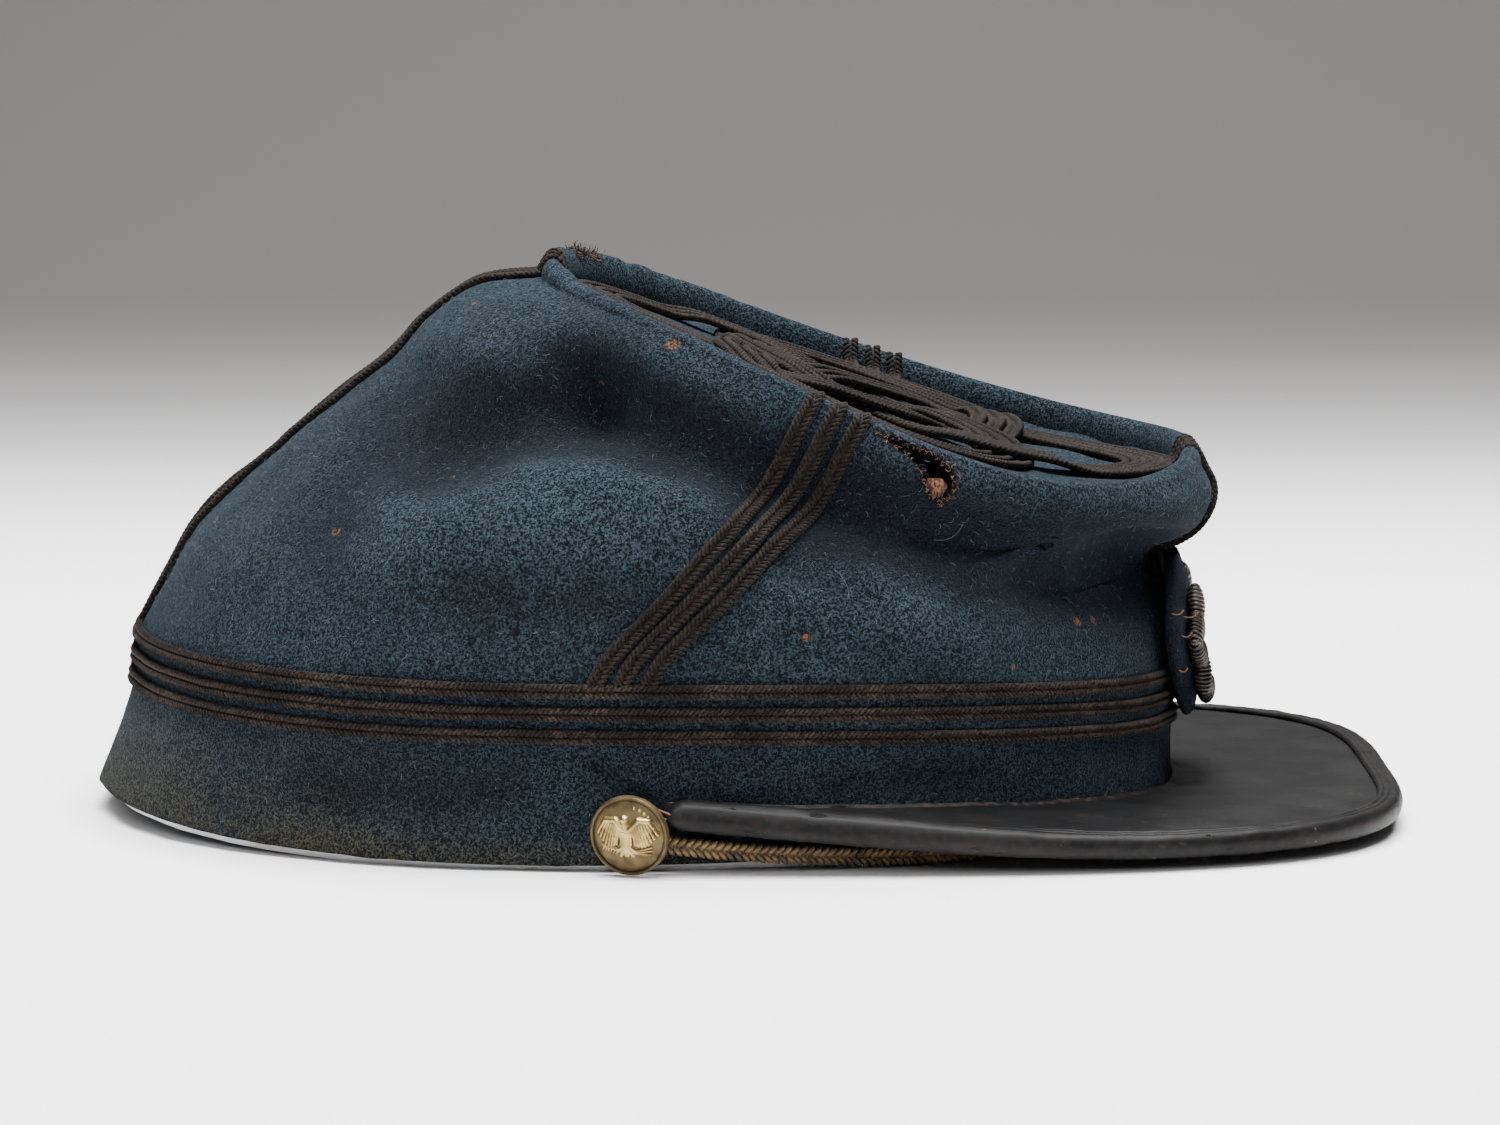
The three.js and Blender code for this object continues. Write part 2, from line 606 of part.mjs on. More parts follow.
// The four-looped knot on the crown: one strand's place beside the middle line, and
// how far it is lifted, since the strands pass over and under each other in turn.
function knotPoint(turn, strand) {
  const share = KNOT_LOOP_SHARE;
  const centre = (crown.frontX + crown.rearX) / 2;
  const line = (a) =>
    new THREE.Vector2(
      centre + (KNOT_LENGTH / 2) * ((1 - share) * Math.cos(a) + share * Math.cos(3 * a)),
      (KNOT_WIDTH / 2) * ((1 - share) * Math.sin(a) - share * Math.sin(3 * a)),
    );
  const along = line(turn + 0.01).sub(line(turn - 0.01)).normalize();
  const aside = new THREE.Vector2(along.y, -along.x);
  const past = (THREE.MathUtils.radToDeg(turn) % 90) - KNOT_FIRST_CROSSING;
  const inCrossings = past > -KNOT_CROSSING_STEP && past < 3 * KNOT_CROSSING_STEP;
  const lift = inCrossings ? smooth(Math.cos((past / KNOT_CROSSING_STEP) * Math.PI), -0.4, 0.4) : 0;
  return { plan: line(turn).addScaledVector(aside, strand * KNOT_PITCH), aside, lift: lift * KNOT_LIFT };
}

function knotGeometry(strand) {
  const sections = Array.from({ length: KNOT_STEPS }, (_, i) => {
    const { plan, aside, lift } = knotPoint((i / KNOT_STEPS) * 2 * Math.PI, strand);
    const corner = (across, up) => {
      const at = plan.clone().addScaledVector(aside, (across * KNOT_STRAND_WIDTH) / 2);
      return point(at.x, at.y, discHeight(at.x, at.y) + 2 * CLEARANCE + lift + up);
    };
    return [corner(-1, 0), corner(1, 0), corner(0.62, KNOT_THICKNESS), corner(-0.62, KNOT_THICKNESS)];
  });
  return loft(sections, true);
}

const visorTip = rim.frontX + VISOR_PROJECTION;
const bindingHeight = VISOR_THICKNESS + 2 * CLEARANCE + 2 * BINDING_LEATHER;

// A place in plan on the visor's outer edge, and the direction from it straight inwards.
function visorEdge(angle) {
  const { c, s } = oval(angle, VISOR_SQUARENESS);
  return point(VISOR_BACK + (visorTip - VISOR_BACK) * c, (RIM_WIDTH / 2 + VISOR_END_OVERHANG) * s, 0);
}

function visorInwards(angle) {
  const along = visorEdge(angle + 0.01).sub(visorEdge(angle - 0.01));
  return point(-along.y, along.x, 0).normalize();
}

// The place in plan where the visor meets the band, on the line from its edge to one point
// behind the band's middle.
function visorRoot(angle) {
  const height = column(VISOR_ROWS, "root", Math.abs(THREE.MathUtils.radToDeg(angle)));
  const ring = bandRing((height - VISOR_THICKNESS - rim.sideZ) / (seam.sideZ - rim.sideZ));
  const long = ring.frontX + 2 * CLEARANCE;
  const wide = ring.sideY + 2 * CLEARANCE;
  const edge = visorEdge(angle);
  const pole = point(VISOR_BACK, 0, 0);
  let [low, high] = [0, 1];
  for (let i = 0; i < 24; i += 1) {
    const share = (low + high) / 2;
    const p = edge.clone().lerp(pole, share);
    const inside = Math.abs(p.x / long) ** OVAL_SQUARENESS + Math.abs(p.y / wide) ** OVAL_SQUARENESS < 1;
    if (inside) high = share;
    else low = share;
  }
  return edge.lerp(pole, low);
}

function visorReach(angle) {
  return visorEdge(angle).distanceTo(visorRoot(angle));
}

function visorBound(angle) {
  return Math.min(BINDING_WIDTH, 0.6 * visorReach(angle));
}

// A place on the visor, a distance in from its edge: straight in under the binding, and
// from there on the line to the root.
function visorPoint(angle, inset, drop = 0) {
  const degrees = Math.abs(THREE.MathUtils.radToDeg(angle));
  const [reach, bound] = [visorReach(angle), visorBound(angle)];
  const share = Math.min(inset / reach, 1);
  const ruled = lerp(column(VISOR_ROWS, "edge", degrees), column(VISOR_ROWS, "root", degrees), share);
  const height = ruled + VISOR_CAMBER * Math.sin(Math.PI * share);
  const p = visorEdge(angle).addScaledVector(visorInwards(angle), Math.min(inset, bound));
  const beyond = Math.max(0, (inset - bound) / (reach - bound));
  return p.lerp(visorRoot(angle), beyond).setZ(height - drop);
}

function visorAngles(steps) {
  const end = radians(VISOR_END_DEGREES);
  return Array.from({ length: steps + 1 }, (_, i) => lerp(-end, end, i / steps));
}

function visorGeometry() {
  const sections = visorAngles(VISOR_STEPS).map((angle) => {
    const reach = visorReach(angle);
    const bound = visorBound(angle);
    const insets = [BINDING_LEATHER + CLEARANCE, bound, (bound + reach) / 2, reach];
    const under = [...insets].reverse();
    return [
      ...insets.map((inset) => visorPoint(angle, inset)),
      ...under.map((inset) => visorPoint(angle, inset, VISOR_THICKNESS)),
    ];
  });
  return loft(sections, false);
}

function bindingGeometry() {
  const sections = visorAngles(VISOR_STEPS).map((angle) => {
    const bound = visorBound(angle);
    const seat = (inset) => visorPoint(angle, Math.max(inset, BINDING_LEATHER + CLEARANCE)).z;
    const top = (inset) => seat(inset) + CLEARANCE + BINDING_LEATHER;
    const at = (inset, drop) => visorPoint(angle, inset).setZ(top(inset) - drop);
    const below = bindingHeight - BINDING_LEATHER;
    const round = 0.25 * bindingHeight;
    return [
      at(bound, BINDING_LEATHER),
      at(bound, 0),
      at(round, 0),
      at(0, round),
      at(0, bindingHeight - round),
      at(round, bindingHeight),
      at(bound, bindingHeight),
      at(bound, below),
      at(BINDING_LEATHER, below),
      at(BINDING_LEATHER, BINDING_LEATHER),
    ];
  });
  return loft(sections, false);
}

// A domed two-piece button on its shank, which points along -Y, with a spread eagle.
function buttonGeometry() {
  const radius = BUTTON_DIAMETER / 2;
  const shank = BUTTON_SHANK_DIAMETER / 2;
  const back = BUTTON_SHANK_LENGTH;
  const profile = [
    [0, 0],
    [shank, 0],
    [shank, back],
    [0.86 * radius, back + 0.3 * BUTTON_RIM],
    [radius, back + 0.6 * BUTTON_RIM],
    [radius, back + BUTTON_RIM],
    [0.9 * radius, back + BUTTON_RIM],
    [0.74 * radius, back + 0.62 * BUTTON_DOME + 0.4 * BUTTON_RIM],
    [0.4 * radius, back + 0.9 * BUTTON_DOME],
    [0, back + BUTTON_DOME],
  ].map(([r, y]) => new THREE.Vector2(r, y));
  const body = new THREE.LatheGeometry(profile, 16);
  const half = [
    [0, 0.6], [0.12, 0.56], [0.14, 0.3], [0.5, 0.66], [0.66, 0.2], [0.44, -0.1], [0.2, 0],
    [0.22, -0.4], [0, -0.6],
  ];
  const outline = [...half, ...half.slice(1, -1).reverse().map(([x, y]) => [-x, y])];
  const eagle = new THREE.Shape(outline.map(([x, y]) => new THREE.Vector2(x * radius, y * radius)));
  const depth = 0.62 * BUTTON_DOME + BUTTON_RELIEF;
  const relief = new THREE.ExtrudeGeometry(eagle, { depth, bevelEnabled: false });
  relief.rotateX(-Math.PI / 2);
  relief.translate(0, back + 0.38 * BUTTON_DOME, 0);
  return joined([body, relief]);
}

function addButton(name, side) {
  const place = new THREE.Group();
  const angle = side * (Math.PI / 2);
  const t = -1 + bandShare(angle, BUTTON_RISE - RIM_SIDE_RISE);
  place.position.copy(offWall(angle, t, 2 * CLEARANCE));
  place.position.x += BUTTON_FORWARD;
  const facing = point(-0.3, side, -0.1).normalize();
  place.quaternion.setFromUnitVectors(point(0, 1, 0), facing);
  const mesh = add(name, buttonGeometry(), gilt, place);
  const upright = point(0, 0, -1).applyQuaternion(place.quaternion);
  mesh.rotation.y = upright.z < 0 ? Math.PI : 0;
  kepi.add(place);
}

// The cord's centre line, from the right button round the front to the left one.
function cordPath() {
  const half = CORD_ROUTE.map(({ degrees, gap, z }) => {
    const angle = radians(-degrees);
    const outwards = normalOf(wall, angle, -1).setZ(0).normalize();
    return onRing(rim, angle).addScaledVector(outwards, CORD_DIAMETER / 2 + gap).setZ(z);
  });
  const mirrored = half.slice(0, -1).reverse().map((p) => point(p.x, -p.y, p.z));
  return new THREE.CatmullRomCurve3([...half, ...mirrored]);
}

function cordGeometry() {
  const section = new THREE.Shape().absarc(0, 0, CORD_DIAMETER / 2, 0, 2 * Math.PI);
  const corners = section.getPoints(CORD_SIDES).slice(0, CORD_SIDES);
  return new THREE.ExtrudeGeometry(new THREE.Shape(corners), { steps: CORD_STEPS, extrudePath: cordPath() });
}

// The wall's front at a distance from the middle and a height, and a distance off it.
function offFront(y, z, distance) {
  let [low, high] = [-1, 0.5];
  let angle = 0;
  for (let i = 0; i < 30; i += 1) {
    const t = (low + high) / 2;
    angle = Math.asin(y / (t < 0 ? bandRing(t + 1) : crownRing(t)).sideY);
    if (wall(angle, t).z < z) low = t;
    else high = t;
  }
  return offWall(angle, low, distance);
}

const badgeBack = BRAID_THICKNESS + 4 * CLEARANCE;

// A point of the badge's padded front, by its shares of the half width and half height.
function badgeFace(across, up, lift) {
  const share = Math.min(1, Math.hypot(across, up));
  const swell = BADGE_THICKNESS * (0.45 + 0.55 * Math.sqrt(1 - share ** 3));
  const y = (across * BADGE_WIDTH) / 2;
  const z = BADGE_RISE + (up * BADGE_HEIGHT) / 2;
  return offFront(y, z, badgeBack + swell + lift);
}

function badgeGeometry() {
  const turns = Array.from({ length: 18 }, (_, i) => (i / 18) * 2 * Math.PI);
  const back = (share) =>
    turns.map((a) => {
      const y = (share * Math.cos(a) * BADGE_WIDTH) / 2;
      const z = BADGE_RISE + (share * Math.sin(a) * BADGE_HEIGHT) / 2;
      return offFront(y, z, badgeBack);
    });
  const front = (share) => turns.map((a) => badgeFace(share * Math.cos(a), share * Math.sin(a), 0));
  return loft([back(0.3), back(0.65), back(1), front(1), front(0.86), front(0.5)], false);
}

// Two laurel branches that leave the top open: leaves along a bow of bullion.
function wreathGeometry() {
  const bow = (degrees, lift) => {
    const across = (Math.cos(radians(degrees)) * WREATH_WIDTH) / BADGE_WIDTH;
    const up = (Math.sin(radians(degrees)) * WREATH_HEIGHT) / BADGE_HEIGHT;
    return badgeFace(across, up, lift);
  };
  const frame = (degrees) => {
    const centre = bow(degrees, CLEARANCE + LEAF_THICKNESS / 2);
    const along = bow(degrees + 1, 0).sub(bow(degrees - 1, 0)).normalize();
    const outwards = bow(degrees, 1).sub(bow(degrees, 0)).normalize();
    const aside = along.clone().cross(outwards).normalize();
    return { centre, along, aside, outwards: aside.clone().cross(along) };
  };
  const stem = Array.from({ length: WREATH_STEPS + 1 }, (_, i) => {
    const degrees = lerp(WREATH_FROM_DEGREES, WREATH_TO_DEGREES, i / WREATH_STEPS);
    const { centre, aside, outwards } = frame(degrees);
    return [[1, 0], [0, 1], [-1, 0], [0, -1]].map(([a, o]) =>
      centre.clone().addScaledVector(aside, (a * STEM_WIDTH) / 2).addScaledVector(outwards, (o * STEM_WIDTH) / 2),
    );
  });
  const leaves = Array.from({ length: WREATH_LEAVES }, (_, i) => {
    const share = (i + 0.5) / WREATH_LEAVES;
    const { centre, along, aside, outwards } = frame(lerp(WREATH_FROM_DEGREES, WREATH_TO_DEGREES, share));
    const leaf = new THREE.OctahedronGeometry(0.5);
    leaf.scale(LEAF_LENGTH, LEAF_WIDTH, LEAF_THICKNESS);
    leaf.rotateZ(radians(i % 2 ? LEAF_SPLAY_DEGREES : -LEAF_SPLAY_DEGREES));
    leaf.applyMatrix4(new THREE.Matrix4().makeBasis(along, aside.negate(), outwards));
    return leaf.translate(centre.x, centre.y, centre.z);
  });
  return joined([loft(stem, false), ...leaves]);
}

add("band", bandGeometry(), cloth);
add("crown_side", toGeometry(toSolid(crownSideGeometry()).subtract(toSolid(tearCutter()))), cloth);
add("crown_disc", discGeometry(), cloth);
add("sweatband", sweatbandGeometry(), paleLeather);
for (const row of [0, 1, 2]) add(`band_braid_${row + 1}`, bandBraid(row), braidWool);
const quarters = [
  { name: "front", low: 0, high: 0, bow: 0 },
  { name: "left", low: 91, high: 89, bow: 0 },
  { name: "rear", low: 180, high: 180, bow: 0 },
  { name: "right", low: -91, high: -97, bow: 4 },
];
for (const quarter of quarters) {
  for (const strand of [-1, 0, 1]) {
    add(`${quarter.name}_braid_${strand + 2}`, quarterBraid(quarter, strand), braidWool);
  }
}
for (const strand of [-1, 0, 1]) add(`knot_strand_${strand + 2}`, knotGeometry(strand), braidWool);
add("visor", visorGeometry(), patentLeather);
add("visor_binding", bindingGeometry(), patentLeather);
addButton("button_right", -1);
addButton("button_left", 1);
add("chin_cord", cordGeometry(), giltCord);
add("badge_patch", badgeGeometry(), cloth);
add("badge_wreath", wreathGeometry(), bullion);

export default kepi;
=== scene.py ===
# %% [markdown]
# # A chasseur kepi
# This soft cap is made of dark blue wool, with a sunken crown that leans forward, black
# plaited braid over its seams, a flat leather visor and a gilt cord between two buttons.
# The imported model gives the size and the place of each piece. Blender gives each piece its
# real surface: fine cloth, plaited strands, creased leather and tarnished brass.

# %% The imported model
import math

import bmesh
import bpy
import numpy as np
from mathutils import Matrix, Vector


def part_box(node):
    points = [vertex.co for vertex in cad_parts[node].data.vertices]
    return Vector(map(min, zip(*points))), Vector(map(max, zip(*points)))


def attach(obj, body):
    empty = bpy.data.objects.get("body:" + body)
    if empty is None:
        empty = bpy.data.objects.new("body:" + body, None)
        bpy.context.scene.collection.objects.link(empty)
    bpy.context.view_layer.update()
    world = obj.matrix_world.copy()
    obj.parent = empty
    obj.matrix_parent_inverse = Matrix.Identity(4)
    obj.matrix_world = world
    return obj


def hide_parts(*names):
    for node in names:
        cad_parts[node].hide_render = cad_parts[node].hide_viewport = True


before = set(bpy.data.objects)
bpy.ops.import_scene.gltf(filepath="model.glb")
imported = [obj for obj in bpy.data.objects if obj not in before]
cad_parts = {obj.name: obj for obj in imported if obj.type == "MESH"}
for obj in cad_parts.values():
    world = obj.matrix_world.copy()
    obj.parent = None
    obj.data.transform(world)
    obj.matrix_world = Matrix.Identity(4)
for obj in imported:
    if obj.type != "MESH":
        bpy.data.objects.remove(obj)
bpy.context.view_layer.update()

# %% [markdown]
# The photograph was taken with a long lens from a little above the table, so the cap's far
# edge shows over its near edge. A 133 mm lens at 1.1 m, looking down 7.5 degrees, gives the
# same lines.

# %% The camera
CAMERA_DISTANCE = 1.1
CAMERA_DEGREES = 7.5
CAMERA_AIM = Vector((0.0007, 0, 0.0468))
CAMERA_LENS_MM = 133.3
CAMERA_SENSOR_MM = 36


def linked(name, data):
    """A new object in the scene."""
    made = bpy.data.objects.new(name, data)
    bpy.context.scene.collection.objects.link(made)
    return made


camera = linked("camera", bpy.data.cameras.new("camera"))
camera.data.lens = CAMERA_LENS_MM
camera.data.sensor_width = CAMERA_SENSOR_MM
tilt = math.radians(CAMERA_DEGREES)
camera.location = CAMERA_AIM + CAMERA_DISTANCE * Vector((0, -math.cos(tilt), math.sin(tilt)))
camera.rotation_euler = (math.pi / 2 - tilt, 0, 0)
bpy.context.scene.camera = camera

# %% [markdown]
# ## Shader maths
# A material's pattern is a sum of simple fields. Writing it with + and * is easier to read
# than a tree of nodes, so a small class wraps a node's socket and adds the Math nodes that
# an expression needs.

# %% A socket that can be added and multiplied


class Wire:
    """A socket in the material that is being made."""

    tree = None

    def __init__(self, socket):
        self.socket = socket

    @classmethod
    def node(cls, kind, settings=None, values=None, output=0):
        made = cls.tree.nodes.new(kind)
        for name, value in (settings or {}).items():
            setattr(made, name, value)
        for name, value in (values or {}).items():
            if isinstance(value, Wire):
                cls.tree.links.new(value.socket, made.inputs[name])
            else:
                made.inputs[name].default_value = value
        return cls(made.outputs[output])

    def maths(self, operation, other, turned=False):
        pair = {0: other, 1: self} if turned else {0: self, 1: other}
        return Wire.node("ShaderNodeMath", {"operation": operation}, pair)

    def __add__(self, other):
        return self.maths("ADD", other)

    def __sub__(self, other):
        return self.maths("SUBTRACT", other)

    def __mul__(self, other):
        return self.maths("MULTIPLY", other)

    def __rsub__(self, other):
        return self.maths("SUBTRACT", other, turned=True)

    __radd__ = __add__
    __rmul__ = __mul__


# %% Fields and mixes for materials
def place():
    return Wire.node("ShaderNodeTexCoord", output="Object")


def stretched(vector, scale):
    return Wire.node("ShaderNodeMapping", None, {"Vector": vector, "Scale": scale})


def noise(vector, scale, detail=3.0, roughness=0.55):
    values = {"Vector": vector, "Scale": scale, "Detail": detail, "Roughness": roughness}
    return Wire.node("ShaderNodeTexNoise", None, values, "Fac")


def band_pass(value, low, high):
    values = {"Value": value, "From Min": low, "From Max": high}
    settings = {"interpolation_type": "SMOOTHSTEP"}
    return Wire.node("ShaderNodeMapRange", settings, values, "Result")


def attribute(name):
    return Wire.node("ShaderNodeAttribute", {"attribute_name": name}, None, "Fac")


def blend(factor, first, second):
    """The first colour where the factor is 0 and the second where it is 1."""
    colours = {"Factor": factor, "A": first, "B": second}
    made = Wire.tree.nodes.new("ShaderNodeMix")
    made.data_type = "RGBA"
    for name, value in colours.items():
        kind = "VALUE" if name == "Factor" else "RGBA"
        socket = next(s for s in made.inputs if s.name == name and s.type == kind)
        if isinstance(value, Wire):
            Wire.tree.links.new(value.socket, socket)
        else:
            socket.default_value = value if name == "Factor" else (*value, 1)
    return Wire(next(s for s in made.outputs if s.type == "RGBA"))


def bump(height, distance, strength=1.0, normal=None):
    values = {"Height": height, "Distance": distance, "Strength": strength}
    if normal:
        values["Normal"] = normal
    return Wire.node("ShaderNodeBump", None, values, "Normal")


def spot(vector, centre, radius):
    """1 in the middle of a ball round the centre, falling to 0 at its edge."""
    away = Wire.node("ShaderNodeVectorMath", {"operation": "DISTANCE"}, {0: vector, 1: centre}, "Value")
    return band_pass(away * (1 / radius), 1.0, 0.35)


def material(name, paint):
    """A new material: paint returns the sockets of its Principled shader by name."""
    made = bpy.data.materials.new(name)
    made.use_nodes = True
    Wire.tree = made.node_tree
    shader = made.node_tree.nodes["Principled BSDF"]
    for socket, value in paint().items():
        if isinstance(value, Wire):
            Wire.tree.links.new(value.socket, shader.inputs[socket])
        elif isinstance(value, tuple) and len(value) == 3:
            shader.inputs[socket].default_value = (*value, 1)
        else:
            shader.inputs[socket].default_value = value
    return made


# %% A plain finish
def plain_paint(colour, roughness=0.8):
    def paint():
        return {"Base Color": colour, "Roughness": roughness, "Specular IOR Level": 0.06}

    return paint


# %% [markdown]
# ## The table and the light
# A seamless pale sweep lies under large soft lights from above and from behind, so the cap's shadow falls
# forwards. The floor here is a plane that curves up behind the cap, and its colour darkens towards the back
# as painted shade.

# %% The sweep
SWEEP_FRONT = -2.2
SWEEP_BEND_START = 0.6
SWEEP_BEND_RADIUS = 0.9
SWEEP_BEND_STEPS = 24
SWEEP_TOP = 2.4
SWEEP_HALF_WIDTH = 3


def make_sweep():
    profile = [(SWEEP_FRONT, 0), (SWEEP_BEND_START, 0)]
    for i in range(1, SWEEP_BEND_STEPS + 1):
        turn = math.pi / 2 * i / SWEEP_BEND_STEPS
        across = SWEEP_BEND_START + SWEEP_BEND_RADIUS * math.sin(turn)
        profile.append((across, SWEEP_BEND_RADIUS * (1 - math.cos(turn))))
    profile.append((profile[-1][0], SWEEP_TOP))
    points = [(x, y, z) for y, z in profile for x in (-SWEEP_HALF_WIDTH, SWEEP_HALF_WIDTH)]
    faces = [(2 * i, 2 * i + 1, 2 * i + 3, 2 * i + 2) for i in range(len(profile) - 1)]
    mesh = bpy.data.meshes.new("sweep")
    mesh.from_pydata(points, [], faces)
    mesh.shade_smooth()
    sweep = linked("sweep", mesh)
    return sweep


def sweep_paint():
    depth = Wire.node("ShaderNodeSeparateXYZ", None, {"Vector": place()}, "Y")
    # The sweep darkens towards the back: painted shade for the light's falloff.
    painted_shade_to_back = band_pass(depth, 0.24, 0.84)
    return {"Base Color": blend(painted_shade_to_back, (0.96, 0.95, 0.955), (0.060, 0.056, 0.054)), "Roughness": 0.8}


make_sweep().data.materials.append(material("pale paper", sweep_paint))

# %% The lights
# Each row: name, place, aim, size in metres and power in watts.
LIGHTS = [
    ("overhead", (0.05, -0.04, 1.35), (0.0, 0.0, 0.0), 1.15, 90),
    ("behind", (0.1, 0.75, 1.3), (0.0, 0.0, 0.0), 0.5, 16),
    ("front fill", (-0.3, -1.6, 1.2), (0.0, 0.0, 0.04), 1.0, 14),
]


def make_light(name, where, aim, size, power):
    light = linked(name, bpy.data.lights.new(name, "AREA"))
    light.data.size = size
    light.data.energy = power
    light.location = where
    light.rotation_euler = (Vector(aim) - Vector(where)).to_track_quat("-Z", "Y").to_euler()


for row in LIGHTS:
    make_light(*row)
world = bpy.data.worlds.new("room")
world.use_nodes = True
room_light = world.node_tree.nodes["Background"].inputs
room_light["Color"].default_value = (0.9, 0.93, 1.0, 1)
room_light["Strength"].default_value = 0.09
bpy.context.scene.world = world

# %% [markdown]
# ## The cap's surface
# The cloth follows three ovals: the rim, the seam above the band, and the edge of the
# crown. The sections between them are shares of the travel from one oval to the next, in
# the same tables as the solids have, so the fine cloth lies where the solids lie.

# %% Sizes in millimetres
OVAL_NAMES = ("rear", "front", "middle", "wide", "rear_up", "side_up", "front_up", "right", "left")
RIM = dict(zip(OVAL_NAMES, (-106, 106, 0, 83, 5.5, 1.4, 2.6, -3, -3)))
SEAM = dict(zip(OVAL_NAMES, (-97.8, 105.5, 0, 81, 35, 33.5, 27, -3.5, -3.5)))
CROWN = dict(zip(OVAL_NAMES, (-18.5, 111.5, 47, 62, 104, 79.8, 67, 9, 2.5)))
SQUARENESS = 2.15
WALL = 2
FOLD_REACH = 10
ROLL_WIDTH = 4.6
ROLL_RISE_LEFT = 4.6
ROLL_RISE_RIGHT = 1
DISC_RECESS = 0.6
DISC_SAG = 1.6

# %% Sections of the band and of the soft wall
BAND_COLUMNS = ("at", "rear", "side", "front")
BAND_ROWS = [
    (0, 0, 0, 0), (0.3, 0.44, 0.7, 0.3), (0.65, 0.85, 1.1, 0.7), (1, 1, 1, 1),
]
CROWN_COLUMNS = ("at", "rear_in", "rear_up", "side_in", "side_up", "forward", "front_out", "front_up")
CROWN_ROWS = [
    (0, 0, 0, 0, 0, 0, 0, 0),
    (0.1, 0.057, 0.115, 0, 0.1, 0.03, -0.1, 0.12),
    (0.2, 0.126, 0.265, 0.02, 0.2, 0.1, -0.2, 0.25),
    (0.3, 0.22, 0.38, 0.06, 0.3, 0.19, -0.32, 0.38),
    (0.4, 0.325, 0.485, 0.13, 0.4, 0.29, -0.5, 0.5),
    (0.5, 0.41, 0.572, 0.22, 0.5, 0.4, -0.52, 0.58),
    (0.6, 0.54, 0.685, 0.34, 0.6, 0.52, 0.25, 0.64),
    (0.7, 0.645, 0.787, 0.48, 0.7, 0.65, 0.9, 0.71),
    (0.8, 0.725, 0.888, 0.64, 0.8, 0.78, 1.25, 0.8),
    (0.9, 0.835, 0.975, 0.82, 0.905, 0.9, 1.3, 0.9),
    (1, 1, 1, 1, 1, 1, 1, 1),
]

# %% Ovals and sections


def column(rows, columns, name, at):
    """One column of a table at places between its rows, on a smooth curve."""
    x = np.array([row[0] for row in rows], float)
    y = np.array([row[columns.index(name)] for row in rows], float)
    slope = np.gradient(y, x)
    inner = slice(1, -1)
    slope[inner] = (y[2:] - y[:-2]) / (x[2:] - x[:-2])
    i = np.clip(np.searchsorted(x, at, side="right") - 1, 0, len(x) - 2)
    span = x[i + 1] - x[i]
    s = (at - x[i]) / span
    bend = span * (slope[i] * s * (1 - s) ** 2 - slope[i + 1] * s * s * (1 - s))
    return y[i] + (y[i + 1] - y[i]) * s * s * (3 - 2 * s) + bend


def smooth(value, low, high):
    s = np.clip((np.asarray(value, float) - low) / (high - low), 0, 1)
    return s * s * (3 - 2 * s)


def mixed(a, b, share):
    return a + (b - a) * share


def oval(angle, squareness=SQUARENESS):
    c, s = np.cos(angle), np.sin(angle)
    size = (np.abs(c) ** squareness + np.abs(s) ** squareness) ** (1 / squareness)
    return c / size, s / size


def height_of(ring, c, s):
    tilted = (ring["front_up"] - ring["rear_up"]) / 2
    dish = (ring["front_up"] + ring["rear_up"]) / 2 - ring["side_up"]
    sway = mixed(ring["right"], ring["left"], (s + 1) / 2)
    return ring["side_up"] + tilted * c + dish * c * c + sway * (c**3 - c)


def on_ring(ring, angle):
    c, s = oval(angle)
    reach = np.where(c > 0, ring["front"] - ring["middle"], ring["middle"] - ring["rear"])
    return np.stack([ring["middle"] + reach * c, ring["wide"] * s, height_of(ring, c, s)], -1)


def band_ring(t):
    shares = {"rear": "rear", "front": "front", "wide": "side"}
    ring = {}
    for name in RIM:
        share = column(BAND_ROWS, BAND_COLUMNS, shares[name], t) if name in shares else t
        ring[name] = mixed(RIM[name], SEAM[name], share)
    return ring


def crown_ring(t):
    shares = dict(rear="rear_in", front="front_out", middle="forward", wide="side_in")
    shares.update(rear_up="rear_up", front_up="front_up")
    shares.update(side_up="side_up", right="side_up", left="side_up")
    ring = {}
    for name, share in shares.items():
        ring[name] = mixed(SEAM[name], CROWN[name], column(CROWN_ROWS, CROWN_COLUMNS, share, t))
    return ring


def plain_wall(angle, t):
    """The cloth without folds: t is -1 at the rim, 0 at the seam and 1 at the crown's edge."""
    angle, t = np.broadcast_arrays(np.asarray(angle, float), np.asarray(t, float))
    low = on_ring(band_ring(np.clip(t + 1, 0, 1)), angle)
    high = on_ring(crown_ring(np.clip(t, 0, 1)), angle)
    return np.where((t < 0)[..., None], low, high)


def unit(vectors):
    return vectors / (np.linalg.norm(vectors, axis=-1, keepdims=True) + 1e-12)


def all_round(count):
    return np.linspace(0, 2 * np.pi, count, endpoint=False)


def normal_of(surface, angle, t):
    step = 0.004
    along = surface(angle + step, t) - surface(angle - step, t)
    low = np.clip(np.asarray(t, float) - step, -1, 1 - 2 * step)
    up = surface(angle, low + 2 * step) - surface(angle, low)
    return unit(np.cross(along, up))


# %% [markdown]
# The folds are where this cap's age shows. Each one is a line on one side of the cap that
# pulls the cloth in or pushes it out, and fades with distance. The first rows are those of
# the solids, and the rest are finer creases that only the render needs.

